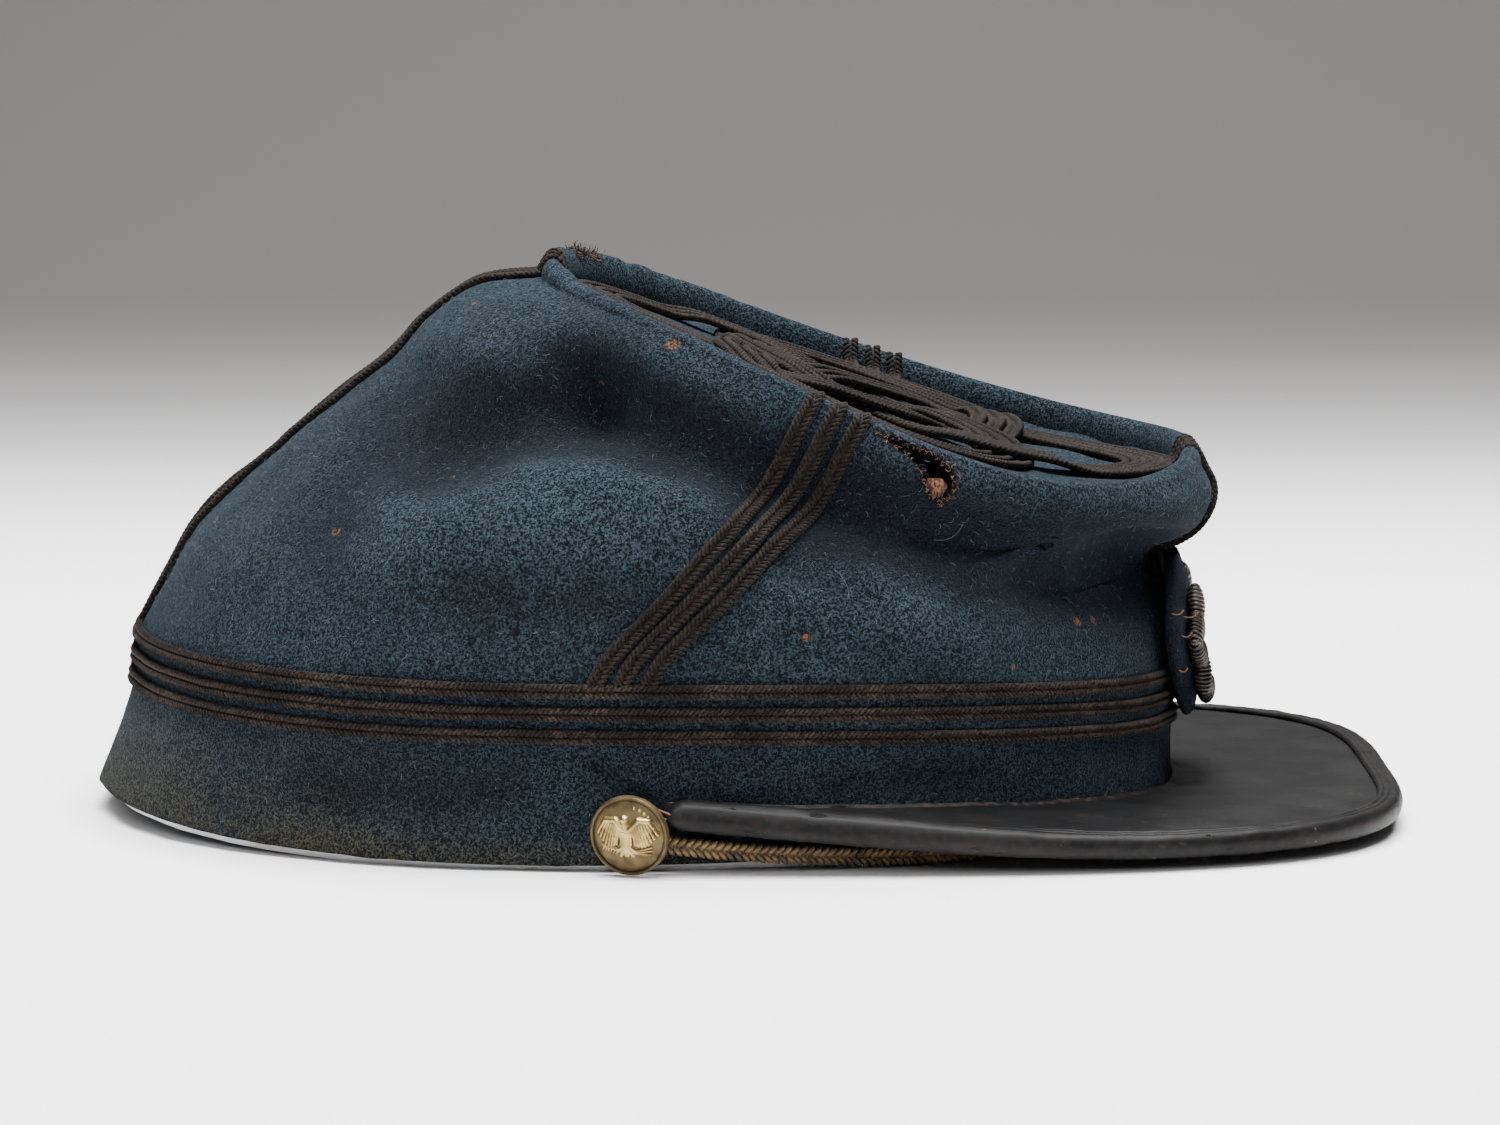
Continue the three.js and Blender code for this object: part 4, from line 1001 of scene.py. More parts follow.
def joined_mesh(meshes):
    """One mesh of several, with the first one's material and smooth shading."""
    points, faces, start = [], [], 0
    for mesh in meshes:
        points += [tuple(v.co) for v in mesh.vertices]
        faces += [tuple(i + start for i in p.vertices) for p in mesh.polygons]
        start += len(mesh.vertices)
    whole = bpy.data.meshes.new("joined")
    whole.from_pydata(points, [], faces)
    whole.materials.append(meshes[0].materials[0])
    whole.shade_smooth()
    return whole


# %% [markdown]
# Worsted braid has a dull sheen along its strands. It has gone from black to brown, most of
# all on the rows of the band, where hands and dust have rubbed it pale on the ribs.

# %% The braid's finish


def braid_paint(worn):
    def paint():
        at = place()
        patches = noise(at, 90, 3.0)
        strands = noise(at, 1800, 2.0)
        black = blend(band_pass(strands, 0.3, 0.7), (0.0016, 0.0012, 0.001), (0.011, 0.0082, 0.0064))
        rubbed = band_pass(patches, 0.3, 0.75) * worn
        return {
            "Base Color": blend(rubbed * band_pass(strands, 0.35, 0.62), black, (0.052, 0.038, 0.029)),
            "Roughness": 0.75,
            "Specular IOR Level": 0.09,
            "Sheen Weight": 0.02,
            "Normal": bump(strands, 0.00012, 0.6),
        }

    return paint


rubbed_braid = material("rubbed black braid", braid_paint(0.75))
black_braid = material("black braid", braid_paint(0.3))

# The section of the flat core: across and out, in millimetres.
CORE = np.array([(-1.6, 0), (-1.15, 0.75), (0, 0.5), (1.15, 0.75), (1.6, 0), (0, -0.3)])


def lay_braid(name, points, outs, closed, finish, plait=PLAIT):
    """A braid on the surface: a flat core, and the plaited strands that cover it."""
    along = unit(np.gradient(points, axis=0))
    if closed:
        along = unit(np.roll(points, -1, 0) - np.roll(points, 1, 0))
    aside = unit(np.cross(outs, along))
    ring = CORE * (plait["Rib"] / PLAIT["Rib"], 1)
    sections = points[:, None] + aside[:, None] * ring[None, :, :1] + outs[:, None] * ring[None, :, 1:]
    core = new_mesh("core", *capped_tube(sections, closed), finish)
    strands = grow(path_object(points + outs * 0.58, outs, closed), PLAIT_TREE, Material=finish, **plait)
    settle(linked(name, joined_mesh([core, strands])), [name])


# %% Three rows round the band
BAND_ROW_PITCH = 4.3
angle = all_round(320)
for row in range(3):
    t = -band_share(angle, row * BAND_ROW_PITCH)
    outs = normal_of(wall, angle, t)
    lay_braid(f"band_braid_{row + 1}", off_wall(angle, t, 0.15), outs, True, rubbed_braid, NARROW)

# %% Three braids up each quarter
QUARTER_PITCH = 4.8
# Each row: name, degrees at the seam and at the crown, and how far the line bows.
QUARTERS = [("front", 0, 0, 0), ("left", 91, 89, 0), ("rear", 180, 180, 0), ("right", -91, -97, 4)]
RUN_ON_TO_DISC = 9
WALL_STEPS = 60
ROLL_STEPS = 14
RUN_STEPS = 8


def quarter_braid(name, low, high, bow, strand):
    level = np.concatenate([np.linspace(0.02, 1, WALL_STEPS), np.ones(ROLL_STEPS)])
    turn = np.concatenate([np.zeros(WALL_STEPS), np.radians(np.linspace(12, 168, ROLL_STEPS))])
    middle = np.radians(mixed(low, high, level) + bow * np.sin(np.pi * level))

    on_roll = (turn > 0)[:, None]

    def at(angle):
        return np.where(on_roll, roll_point(angle, turn), wall(angle, level))

    reach = np.linalg.norm(at(middle + 0.01) - at(middle - 0.01), axis=-1)
    angle = middle + strand * QUARTER_PITCH * 0.02 / reach
    outs = np.where(on_roll, roll_normal(angle, turn), normal_of(wall, angle, level))
    points = at(angle) + outs * (0.15 - 0.7 * smooth(turn, 0, 0.5))[:, None]
    inwards = inwards_of(angle[-1:])[0]
    run = points[-1] + inwards * np.linspace(1, RUN_ON_TO_DISC, RUN_STEPS)[:, None]
    run[:, 2] = disc_height(run[:, 0], run[:, 1]) + 0.4
    points = np.concatenate([points, run])
    outs = np.concatenate([outs, np.tile([0.0, 0.0, 1.0], (RUN_STEPS, 1))])
    first = WALL_STEPS + 1
    for _ in range(2):
        outs[1:-1] = unit(outs[:-2] + 2 * outs[1:-1] + outs[2:])
        points[first:-1] = (points[first - 1 : -2] + 2 * points[first:-1] + points[first + 1 :]) / 4
    lay_braid(f"{name}_braid_{strand + 2}", points, outs, False, black_braid)


for quarter in QUARTERS:
    for strand in (-1, 0, 1):
        quarter_braid(*quarter, strand)

# %% [markdown]
# ## The knot on the crown
# The crown carries a traditional knot of four loops. Three braids run side by side along
# one curve that crosses itself eight times, over and under by turns.

# %% The knot
KNOT_SIZE = (110, 98)
KNOT_LOOP_SHARE = 0.64
KNOT_PITCH = 3.7
KNOT_LIFT = 1.7
KNOT_STEPS = 360
FIRST_CROSSING = 25.7
CROSSING_STEP = 12.9


def knot_line(turn):
    share = KNOT_LOOP_SHARE
    swing = (1 - share) * np.cos(turn) + share * np.cos(3 * turn)
    x = (CROWN["front"] + CROWN["rear"]) / 2 + KNOT_SIZE[0] / 2 * swing
    y = KNOT_SIZE[1] / 2 * ((1 - share) * np.sin(turn) - share * np.sin(3 * turn))
    return np.stack([x, y], -1)


def knot_strand(strand):
    turn = all_round(KNOT_STEPS)
    along = unit(knot_line(turn + 0.01) - knot_line(turn - 0.01))
    plan = knot_line(turn) + np.stack([along[:, 1], -along[:, 0]], -1) * strand * KNOT_PITCH
    past = np.degrees(turn) % 90 - FIRST_CROSSING
    crossing = (past > -CROSSING_STEP) & (past < 3 * CROSSING_STEP)
    lift = np.where(crossing, smooth(np.cos(past / CROSSING_STEP * np.pi), -0.4, 0.4), 0) * KNOT_LIFT
    up = disc_height(plan[:, 0], plan[:, 1]) + 0.5 + lift
    points = np.stack([plan[:, 0], plan[:, 1], up], -1)
    for _ in range(3):
        points = (np.roll(points, 1, 0) + 2 * points + np.roll(points, -1, 0)) / 4
    outs = np.tile([0.0, 0.0, 1.0], (KNOT_STEPS, 1))
    lay_braid(f"knot_strand_{strand + 2}", points, outs, True, black_braid, WIDE)


for strand in (-1, 0, 1):
    knot_strand(strand)

# %% [markdown]
# ## The sweatband
# Only the pale lower edge of the leather sweatband shows below the cloth. It is a thin
# shell inside the band, and the cap stands on it.

# %% The sweatband
SWEATBAND_SHOW = 1.6
SWEATBAND_SHOW_FRONT = 2.8


def pale_leather_paint():
    at = place()
    stain = noise(at, 60, 4.0)
    return {
        "Base Color": blend(band_pass(stain, 0.35, 0.7), (0.62, 0.62, 0.64), (0.42, 0.40, 0.38)),
        "Roughness": 0.6,
        "Normal": bump(noise(at, 1400, 3.0), 0.0002, 0.5),
    }


def make_sweatband():
    angle = all_round(240)
    show = mixed(SWEATBAND_SHOW, SWEATBAND_SHOW_FRONT, smooth(oval(angle)[0], 0.2, 0.7))

    def foot(inset):
        p = off_wall(angle, -1.0, -inset)
        p[:, 2] = np.maximum(0, on_ring(RIM, angle)[:, 2] - show)
        return p

    outer = [off_wall(angle, t, -2.25) for t in np.linspace(-0.95, -0.25, 8)]
    inner = [off_wall(angle, t, -3.4) for t in np.linspace(-0.25, -0.95, 8)]
    points = np.array([foot(2.25)] + outer + inner + [foot(3.4)])
    faces = grid_faces(len(points), 240, wrap_rows=True)
    finish = material("pale leather", pale_leather_paint)
    put_right(new_piece("sweatband", points, faces, finish, ["sweatband"]))


make_sweatband()

# %% [markdown]
# ## The visor
# The visor is one piece of stiff leather. It is ruled between two lines: its root along the
# band and its outer edge, whose heights come from a short table. A rolled binding with two
# fine grooves holds its edge.

# %% The visor's lines
# Lengths in millimetres. Each row of the table: degrees from the front, and the heights of
# the root and of the edge.
VISOR_TIP = 149.8
VISOR_BACK = -4
VISOR_HALF = 89
VISOR_SQUARENESS = 3.7
VISOR_THICKNESS = 2
VISOR_END = math.radians(85.8)
VISOR_CAMBER = 0.4
VISOR_STEPS = 220
BINDING_WIDTH = 5
BINDING_LEATHER = 0.9
VISOR_COLUMNS = ("at", "root", "edge")
VISOR_ROWS = [
    (0, 5.6, 5.4), (20, 6, 5.6), (40, 7.6, 5.6), (55, 9.4, 5.4), (65, 10.6, 6.6), (75, 11.6, 8.8),
    (85, 12.6, 11.4), (90, 13, 12.8),
]


def visor_edge(angle):
    c, s = oval(angle, VISOR_SQUARENESS)
    return np.stack([VISOR_BACK + (VISOR_TIP - VISOR_BACK) * c, VISOR_HALF * s, 0 * c], -1)


def visor_inwards(angle):
    along = visor_edge(angle + 0.01) - visor_edge(angle - 0.01)
    return unit(np.stack([-along[..., 1], along[..., 0], 0 * along[..., 0]], -1))


def visor_root(angle):
    """Where the line from the edge to one point behind the band's middle meets the band."""
    height = column(VISOR_ROWS, VISOR_COLUMNS, "root", np.abs(np.degrees(angle)))
    ring = band_ring((height - VISOR_THICKNESS - RIM["side_up"]) / (SEAM["side_up"] - RIM["side_up"]))
    edge = visor_edge(angle)
    pole = np.array((VISOR_BACK, 0.0, 0.0))
    low, high = np.zeros_like(angle), np.ones_like(angle)
    for _ in range(24):
        share = (low + high) / 2
        p = mixed(edge, pole, share[:, None])
        near = np.abs(p[:, 0] / (ring["front"] + 0.1)) ** SQUARENESS
        inside = near + np.abs(p[:, 1] / (ring["wide"] + 0.1)) ** SQUARENESS < 1
        low, high = np.where(inside, low, share), np.where(inside, share, high)
    return mixed(edge, pole, low[:, None])


def visor_reach(angle):
    return np.linalg.norm(visor_root(angle) - visor_edge(angle), axis=-1)


def visor_point(angle, inset, reach, up=0.0):
    """A place a distance in from the edge: straight in at first, then on the line to the root."""
    share = np.minimum(inset / reach, 1)
    degrees = np.abs(np.degrees(angle))
    edge = column(VISOR_ROWS, VISOR_COLUMNS, "edge", degrees)
    root = column(VISOR_ROWS, VISOR_COLUMNS, "root", degrees)
    bound = np.minimum(BINDING_WIDTH, 0.6 * reach)
    straight = visor_edge(angle) + visor_inwards(angle) * np.minimum(inset, bound)[..., None]
    beyond = np.clip((inset - bound) / (reach - bound), 0, 1)
    p = mixed(straight, visor_root(angle), beyond[..., None])
    p[..., 2] = mixed(edge, root, share) + VISOR_CAMBER * np.sin(np.pi * share) + up
    return p


# %% The leather's finish


def visor_paint():
    at = place()
    cracks = noise(stretched(at, (0.3, 1.0, 1.0)), 420, 5.0, 0.65)
    crazed = band_pass(cracks, 0.62, 0.72)
    dull = noise(at, 70, 4.0)
    scuffs = band_pass(noise(stretched(at, (0.5, 1.0, 1.0)), 900, 3.0), 0.69, 0.75)
    black = blend(band_pass(dull, 0.4, 0.7), (0.003, 0.003, 0.0034), (0.007, 0.0068, 0.0068))
    worn = blend(scuffs * band_pass(dull, 0.45, 0.6) * 0.7, black, (0.12, 0.075, 0.045))
    rubbed = blend(attribute("rub") * band_pass(noise(at, 700, 3.0), 0.45, 0.62), worn, (0.10, 0.062, 0.04))
    return {
        "Base Color": rubbed,
        "Roughness": 0.4 + 0.16 * dull + 0.25 * crazed + 0.1 * attribute("rub"),
        "Specular IOR Level": 0.13,
        "Normal": bump(crazed, -0.0006, 0.7, bump(noise(at, 120, 3.0), 0.0006, 0.6)),
    }


enamelled = material("black enamelled leather", visor_paint)


def make_visor():
    angle = np.linspace(-VISOR_END, VISOR_END, VISOR_STEPS)
    reach = visor_reach(angle)
    shares = np.concatenate([np.linspace(0, 0.94, 40), [0.955, 0.97, 0.985, 1.0]])
    rows, rub = [], []
    for share in shares:
        inset = 1.2 + (reach - 1.2) * share
        p = visor_point(angle, inset, reach)
        p[:, 2] += 0.18 * ripples(p, 17, 6) * smooth(share, 0, 0.2)
        p[:, 2] += 0.5 * smooth(share, 0.955, 0.985)
        rows.append(p)
        rub.append(smooth(share, 0.945, 0.97) * smooth(np.abs(np.degrees(angle)), 25, 50) * 0.3)
    for share in (1.0, 0.5, 0.0):
        rows.append(visor_point(angle, 1.2 + (reach - 1.2) * share, reach, -VISOR_THICKNESS))
        rub.append(0 * angle)
    points, faces = capped_tube(np.array(rows).transpose(1, 0, 2))
    rubbed = {"rub": np.array(rub).T}
    put_right(new_piece("visor", points, faces, enamelled, ["visor"], rubbed))


make_visor()

# %% [markdown]
# The binding's section is a flattened tube, open towards the visor. On top it has two fine
# grooves, where the stitching has drawn it down.

# %% The binding
# Each row: a share of the binding's width and of its leather's height, over the top of it.
BINDING_SECTION = [
    (1.0, 0.42), (0.93, 0.95), (0.84, 1.0), (0.74, 0.98), (0.70, 0.80), (0.66, 0.98), (0.58, 1.0),
    (0.52, 0.97), (0.48, 0.80), (0.44, 0.97), (0.34, 1.02), (0.22, 0.92), (0.12, 0.6),
]
# The same round its outer side, with shares of its whole thickness.
BINDING_SIDE = [(0.04, 0.27), (0.0, 0.5), (0.04, 0.73)]
BINDING_STEPS = 300


def make_binding():
    angle = np.linspace(-VISOR_END, VISOR_END, BINDING_STEPS)
    degrees = np.abs(np.degrees(angle))
    reach = visor_reach(angle)
    rolled = smooth(degrees, 56, 74)
    closing = np.sqrt(np.clip(1 - smooth(degrees, 84.0, 86.0) ** 2, 0.02, 1))
    bound = mixed(np.minimum(BINDING_WIDTH, 0.6 * reach), np.minimum(0.97 * reach, 6.2), rolled)
    leather = BINDING_LEATHER + 0.3
    rows = []

    def row(inset, up):
        seat = visor_point(angle, np.maximum(inset, 1.2), reach)
        p = visor_point(angle, inset, reach)
        p[:, 2] = seat[:, 2] - VISOR_THICKNESS / 2 + (up + VISOR_THICKNESS / 2) * closing
        return p

    for inset, rise in BINDING_SECTION:
        bow = 0.5 + 1.25 * math.sin(math.pi * min(inset, 0.92) ** 0.75)
        rows.append(row(bound * inset, leather * mixed(rise, bow, rolled)))
    full = 2 * leather + VISOR_THICKNESS
    for inset, drop in BINDING_SIDE:
        rows.append(row(bound * inset, leather - full * drop))
    for inset, rise in reversed(BINDING_SECTION):
        rows.append(row(bound * inset, -VISOR_THICKNESS - leather * min(rise, 1)))
    rows.append(row(bound, -VISOR_THICKNESS - 0.15))
    rows.append(row(np.full_like(angle, 1.0), -VISOR_THICKNESS - 0.15))
    rows.append(row(np.full_like(angle, 1.0), 0.15))
    rows.append(row(bound, 0.15))
    sections = np.array(rows).transpose(1, 0, 2)
    sections += 0.06 * ripples(sections, 6, 7)[..., None] * (0, 0, 1)
    points, faces = capped_tube(sections)
    edge = np.full(len(rows), 0.02)
    edge[len(BINDING_SECTION) : len(BINDING_SECTION) + len(BINDING_SIDE)] = 0.06
    rubbed = {"rub": np.tile(edge, (BINDING_STEPS, 1))}
    piece = new_piece("visor_binding", points, faces, enamelled, ["visor_binding"], rubbed)
    put_right(piece)


make_binding()

# %% [markdown]
# ## The buttons
# Each button is a thin brass dome, struck with a spread eagle that carries a shield, inside
# an arc of dots. The relief is a height field: every feather, leg and dot is a short stroke,
# and the dome rises where a stroke is near.

# %% Strokes of the eagle
# Each row: x, y, to x, to y, width and height, in shares of the radius.
MIDDLE_STROKES = [
    (0, 0.12, 0, -0.1, 0.14, 0.8),
    (0, 0.16, -0.03, 0.4, 0.095, 0.9),
    (-0.04, 0.45, -0.07, 0.46, 0.1, 1.0),
    (-0.1, 0.46, -0.22, 0.41, 0.04, 0.8),
    (0, -0.26, 0, -0.44, 0.08, 0.6),
    (-0.16, -0.34, -0.62, -0.26, 0.03, 0.5),
    (0.16, -0.34, 0.62, -0.24, 0.026, 0.6),
    (0.16, -0.36, 0.62, -0.33, 0.026, 0.6),
    (0.16, -0.38, 0.58, -0.42, 0.026, 0.6),
]
PAIRED_STROKES = [
    (0.07, 0.2, 0.3, 0.44, 0.085, 0.95),
    (0.3, 0.44, 0.56, 0.42, 0.075, 0.95),
    (0.03, -0.26, 0.15, -0.46, 0.055, 0.5),
    (0.09, -0.22, 0.22, -0.34, 0.05, 0.6),
]
FEATHERS = 8
SPRIG_LEAVES = 6
SHIELD = (0.17, 0.22)
RING_DOTS = 5
RING_DEGREES = (32, 76)


def eagle_strokes():
    strokes = list(MIDDLE_STROKES)
    for side in (-1, 1):
        strokes += [(side * x, y, side * to_x, to_y, w, h) for x, y, to_x, to_y, w, h in PAIRED_STROKES]
        for i in range(FEATHERS):
            share = i / (FEATHERS - 1)
            root = (mixed(0.16, 0.57, share), mixed(0.26, 0.42, share))
            tip = (mixed(0.24, 0.77, share), mixed(-0.16, 0.08, share**1.6) - 0.1 * math.sin(math.pi * share))
            strokes.append((side * root[0], root[1], side * tip[0], tip[1], 0.042, 0.7))
            knee = (mixed(root[0], tip[0], 0.45), mixed(root[1], tip[1], 0.45))
            strokes.append((side * root[0], root[1], side * knee[0], knee[1], 0.05, 0.85))
    for i in range(SPRIG_LEAVES):
        x, y = -0.22 - 0.075 * i, -0.33 + 0.012 * i
        for rise in (0.075, -0.07):
            strokes.append((x, y, x - 0.05, y + rise, 0.028, 0.55))
    return strokes


def relief(x, y):
    """The height of the struck figures, from 0 to 1, on a face of radius 1."""
    height = np.zeros_like(x)
    for sx, sy, tx, ty, width, rise in eagle_strokes():
        line = np.array([tx - sx, ty - sy])
        share = np.clip(((x - sx) * line[0] + (y - sy) * line[1]) / (line @ line), 0, 1)
        away = np.hypot(x - sx - share * line[0], y - sy - share * line[1])
        height = np.maximum(height, rise * np.sqrt(np.clip(1 - (away / width) ** 2, 0, 1)))
    down = y + 0.04
    pointed = np.where(down < 0, (x / SHIELD[0]) ** 2 * 0.45, 0)
    edge = np.maximum(np.abs(x) / SHIELD[0], np.abs(down) / SHIELD[1] + pointed)
    shield = smooth(1 - edge, 0, 0.12)
    stripes = np.where(down < 0.07, 0.86 + 0.14 * np.cos(x * 2 * np.pi / 0.062), 1.0)
    height = np.maximum(height, shield * stripes)
    for degrees in np.linspace(*RING_DEGREES, RING_DOTS):
        dot = 0.74 * np.array([math.cos(math.radians(degrees)), math.sin(math.radians(degrees))])
        away = np.hypot(x - dot[0], y - dot[1]) / 0.042
        height = np.maximum(height, 0.6 * np.sqrt(np.clip(1 - away**2, 0, 1)))
    return height


# %% The brass


def brass_paint():
    at = place()
    tarnish = noise(at, 420, 4.0)
    deep = attribute("recess")
    clean = blend(band_pass(tarnish, 0.35, 0.7), (0.46, 0.34, 0.13), (0.17, 0.12, 0.05))
    return {
        "Base Color": blend(deep * 0.9, clean, (0.03, 0.02, 0.009)),
        "Metallic": 1 - deep * 0.35,
        "Roughness": 0.26 + 0.2 * tarnish + deep * 0.2,
        "Normal": bump(noise(at, 1800, 2.0), 0.00004, 0.6),
    }


brass = material("gilt brass", brass_paint)
BUTTON_RADIUS = 7.5
BUTTON_DOME = 2.6
BUTTON_SHANK = 4.4
BUTTON_STEPS = 240
BUTTON_HEIGHT = 8.3
BUTTON_RELIEF = 0.7
# Each row: a share of the radius and the height, down the button's back to its shank.
BUTTON_BACK = [
    (1.0, -0.35), (0.97, -0.6), (0.8, -0.7), (0.25, -0.8), (0.17, -0.9), (0.17, -BUTTON_SHANK - 0.8)
]


def button_profile(radius):
    """The face's height over the button's plane, at a share of its radius."""
    dome = 0.5 + (BUTTON_DOME - 0.9) * (1 - (radius / 0.89) ** 2)
    lip = 0.25 + 0.75 * np.sqrt(np.clip(1 - ((radius - 0.95) / 0.055) ** 2, 0, 1))
    return np.where(radius < 0.885, dome, lip)


def make_button(name, side):
    facing = unit(np.array([-0.3, side, -0.1]))
    t = -1 + band_share(side * math.pi / 2, BUTTON_HEIGHT - RIM["side_up"])
    base = off_wall(np.array([side * math.pi / 2]), np.array([t]), 0.6)[0] + (2, 0, 0)
    radii = np.concatenate([np.linspace(0.004, 0.88, 120), np.linspace(0.89, 1, 14)])
    turn = all_round(BUTTON_STEPS)
    r, a = np.meshgrid(radii, turn, indexing="ij")
    x, y = r * np.cos(a), r * np.sin(a)
    raised = np.where(r < 0.87, relief(x, y), 0)
    face = button_profile(r) + BUTTON_RELIEF * raised
    recess = np.where(r < 0.885, np.clip(0.85 - raised * 1.6, 0, 1), 0.95)
    for radius, level in BUTTON_BACK:
        x = np.vstack([x, radius * np.cos(turn)])
        y = np.vstack([y, radius * np.sin(turn)])
        face = np.vstack([face, np.full(BUTTON_STEPS, level)])
        recess = np.vstack([recess, np.full(BUTTON_STEPS, 0.5)])
    up = unit(np.array([0, 0, 1.0]) - facing * facing[2])
    across = np.cross(up, facing)
    centre = base + facing * (BUTTON_SHANK + 0.7)
    local = across * (x * BUTTON_RADIUS)[..., None] + up * (y * BUTTON_RADIUS)[..., None]
    points, faces = capped_tube(centre + local + facing * face[..., None])
    put_right(new_piece(name, points, faces, brass, [name], {"recess": recess}))


make_button("button_right", -1)
make_button("button_left", 1)

# %% [markdown]
# ## The chin cord
# The cord is a plait of three gilt strands. It comes out from behind the right button, lies
# under the visor and goes plainly round to the left one. Its route is a short list of
# points, and each strand weaves about it.

# %% The cord's route
CORD_DIAMETER = 3
# Each row: degrees from the front, the gap to the cloth and the height in millimetres.
CORD_ROUTE = [
    (87.6, 0.5, 6), (84, 0.6, 5.2), (79, 0.6, 4.1), (72, 0.6, 3), (63, 0.8, 2), (54, 1, 1.6),
    (44, 1.4, 1.6), (33, 2, 1.6), (22, 3, 1.6), (11, 4, 1.6), (0, 4.4, 1.6),
]


def cord_line():
    table = np.array(CORD_ROUTE, float)
    angle = -np.radians(table[:, 0])
    outs = normal_of(wall, angle, np.full(len(angle), -1.0))
    outs = unit(outs * (1, 1, 0))
    half = on_ring(RIM, angle) + outs * (CORD_DIAMETER / 2 + table[:, 1])[:, None]
    half[:, 2] = table[:, 2]
    spline = np.concatenate([half, half[-2::-1] * (1, -1, 1)])
    for _ in range(5):
        middle = (spline[:-1] + spline[1:]) / 2
        fine = np.empty((2 * len(spline) - 1, 3))
        fine[::2], fine[1::2] = spline, middle
        fine[1:-1] = (fine[:-2] + 2 * fine[1:-1] + fine[2:]) / 4
        spline = fine
    return spline


def resampled(points, step):
    travel = np.concatenate([[0], np.cumsum(np.linalg.norm(np.diff(points, axis=0), axis=-1))])
    count = int(round(travel[-1] / step)) + 1
    even = np.linspace(0, travel[-1], count)
    return np.stack([np.interp(even, travel, points[:, k]) for k in range(3)], -1), travel[-1]


def gilt_paint():
    at = place()
    tarnish = noise(at, 260, 4.0)
    return {
        "Base Color": blend(band_pass(tarnish, 0.35, 0.7), (0.14, 0.088, 0.034), (0.03, 0.02, 0.011)),
        "Metallic": 0.3,
        "Roughness": 0.55,
        "Normal": bump(noise(at, 2600, 2.0), 0.00012, 0.7),
    }


def make_cord():
    centre, length = resampled(cord_line(), 0.6)
    along = unit(np.gradient(centre, axis=0))
    up = np.array([0, 0, 1.0]) - along * along[:, 2:]
    outs = unit(np.cross(unit(up), along)) * -1
    finish = material("tarnished gilt", gilt_paint)
    corners = all_round(8)
    ring_up, ring_out = 1.25 * np.cos(corners), 0.75 * np.sin(corners)
    sections = centre[:, None] + unit(up)[:, None] * ring_up[None, :, None]
    sections = sections + outs[:, None] * ring_out[None, :, None]
    core = new_mesh("core", *capped_tube(sections), finish)
    strands = grow(path_object(centre + outs * 0.35, outs, False), PLAIT_TREE, Material=finish, **CORD_PLAIT)
    cord = linked("chin_cord", joined_mesh([core, strands]))
    settle(cord, ["chin_cord"])
    print("chin cord:", round(length), "mm, with", len(cord.data.polygons), "faces")


make_cord()

# %% [markdown]
# ## The badge
# A padded oval of the same cloth stands on the front, with two branches of black bullion
# embroidered on it. Bullion is wire wound into a fine coil, so every leaf is a row of small
# rings along a bow.

# %% The padded patch
BADGE_WIDTH = 50
BADGE_HEIGHT = 33
BADGE_THICKNESS = 3.4
BADGE_RISE = 33.5
BADGE_BACK = 2.6


def off_front(y, z, distance):
    """The wall's front at a place in Y and Z, and a distance off it."""
    y, z, distance = np.broadcast_arrays(*(np.asarray(v, float) for v in (y, z, distance)))
    low, high = np.full(y.shape, -1.0), np.full(y.shape, 0.5)
    for _ in range(26):
        t = (low + high) / 2
        wide = np.where(t < 0, band_ring(np.clip(t + 1, 0, 1))["wide"], crown_ring(np.clip(t, 0, 1))["wide"])
        angle = np.arcsin(y / wide)
        below = plain_wall(angle, t)[..., 2] < z
        low, high = np.where(below, t, low), np.where(below, high, t)
    return plain_wall(angle, low) + normal_of(plain_wall, angle, low) * distance[..., None]


def badge_face(across, up, lift):
    share = np.minimum(1, np.hypot(across, up))
    swell = BADGE_THICKNESS * (0.45 + 0.55 * np.sqrt(1 - share**3))
    return off_front(across * BADGE_WIDTH / 2, BADGE_RISE + up * BADGE_HEIGHT / 2, BADGE_BACK + swell + lift)


def make_badge():
    turn = all_round(96)
    rows = []
    for share in np.linspace(0.02, 0.97, 26):
        rows.append(badge_face(share * np.cos(turn), share * np.sin(turn), 0.12 * np.sin(turn * 5)))
    for share, depth in ((1.0, 0.75), (1.02, 0.4), (1.0, 0.0), (0.9, -0.3), (0.5, -0.6), (0.02, -0.6)):
        y = share * np.cos(turn) * BADGE_WIDTH / 2
        z = BADGE_RISE + share * np.sin(turn) * BADGE_HEIGHT / 2
        rows.append(off_front(y, z, BADGE_BACK + depth * 2))
    points, faces = capped_tube(np.array(rows))
    wear_and_fold_shade = np.full(len(points), 0.15)
    worn = {"wear_and_fold_shade": wear_and_fold_shade, "dust": 0 * wear_and_fold_shade}
    patch = new_piece("badge_patch", points, faces, wool, ["badge_patch"], worn)
    put_right(patch)


make_badge()

# %% The bullion wreath
WREATH_SIZE = (38, 23)
WREATH_LEAVES = 12
WREATH_DEGREES = (-225, 45)
# A leaf's length, width and height.
LEAF = (8.2, 5.0, 3.0)
RINGS_A_LEAF = 10
STEM_RINGS = 110


def bullion_paint():
    at = place()
    tarnish = noise(at, 300, 3.0)
    return {
        "Base Color": blend(band_pass(tarnish, 0.35, 0.7), (0.014, 0.012, 0.011), (0.085, 0.073, 0.062)),
        "Metallic": 0.6,
        "Roughness": 0.38,
    }


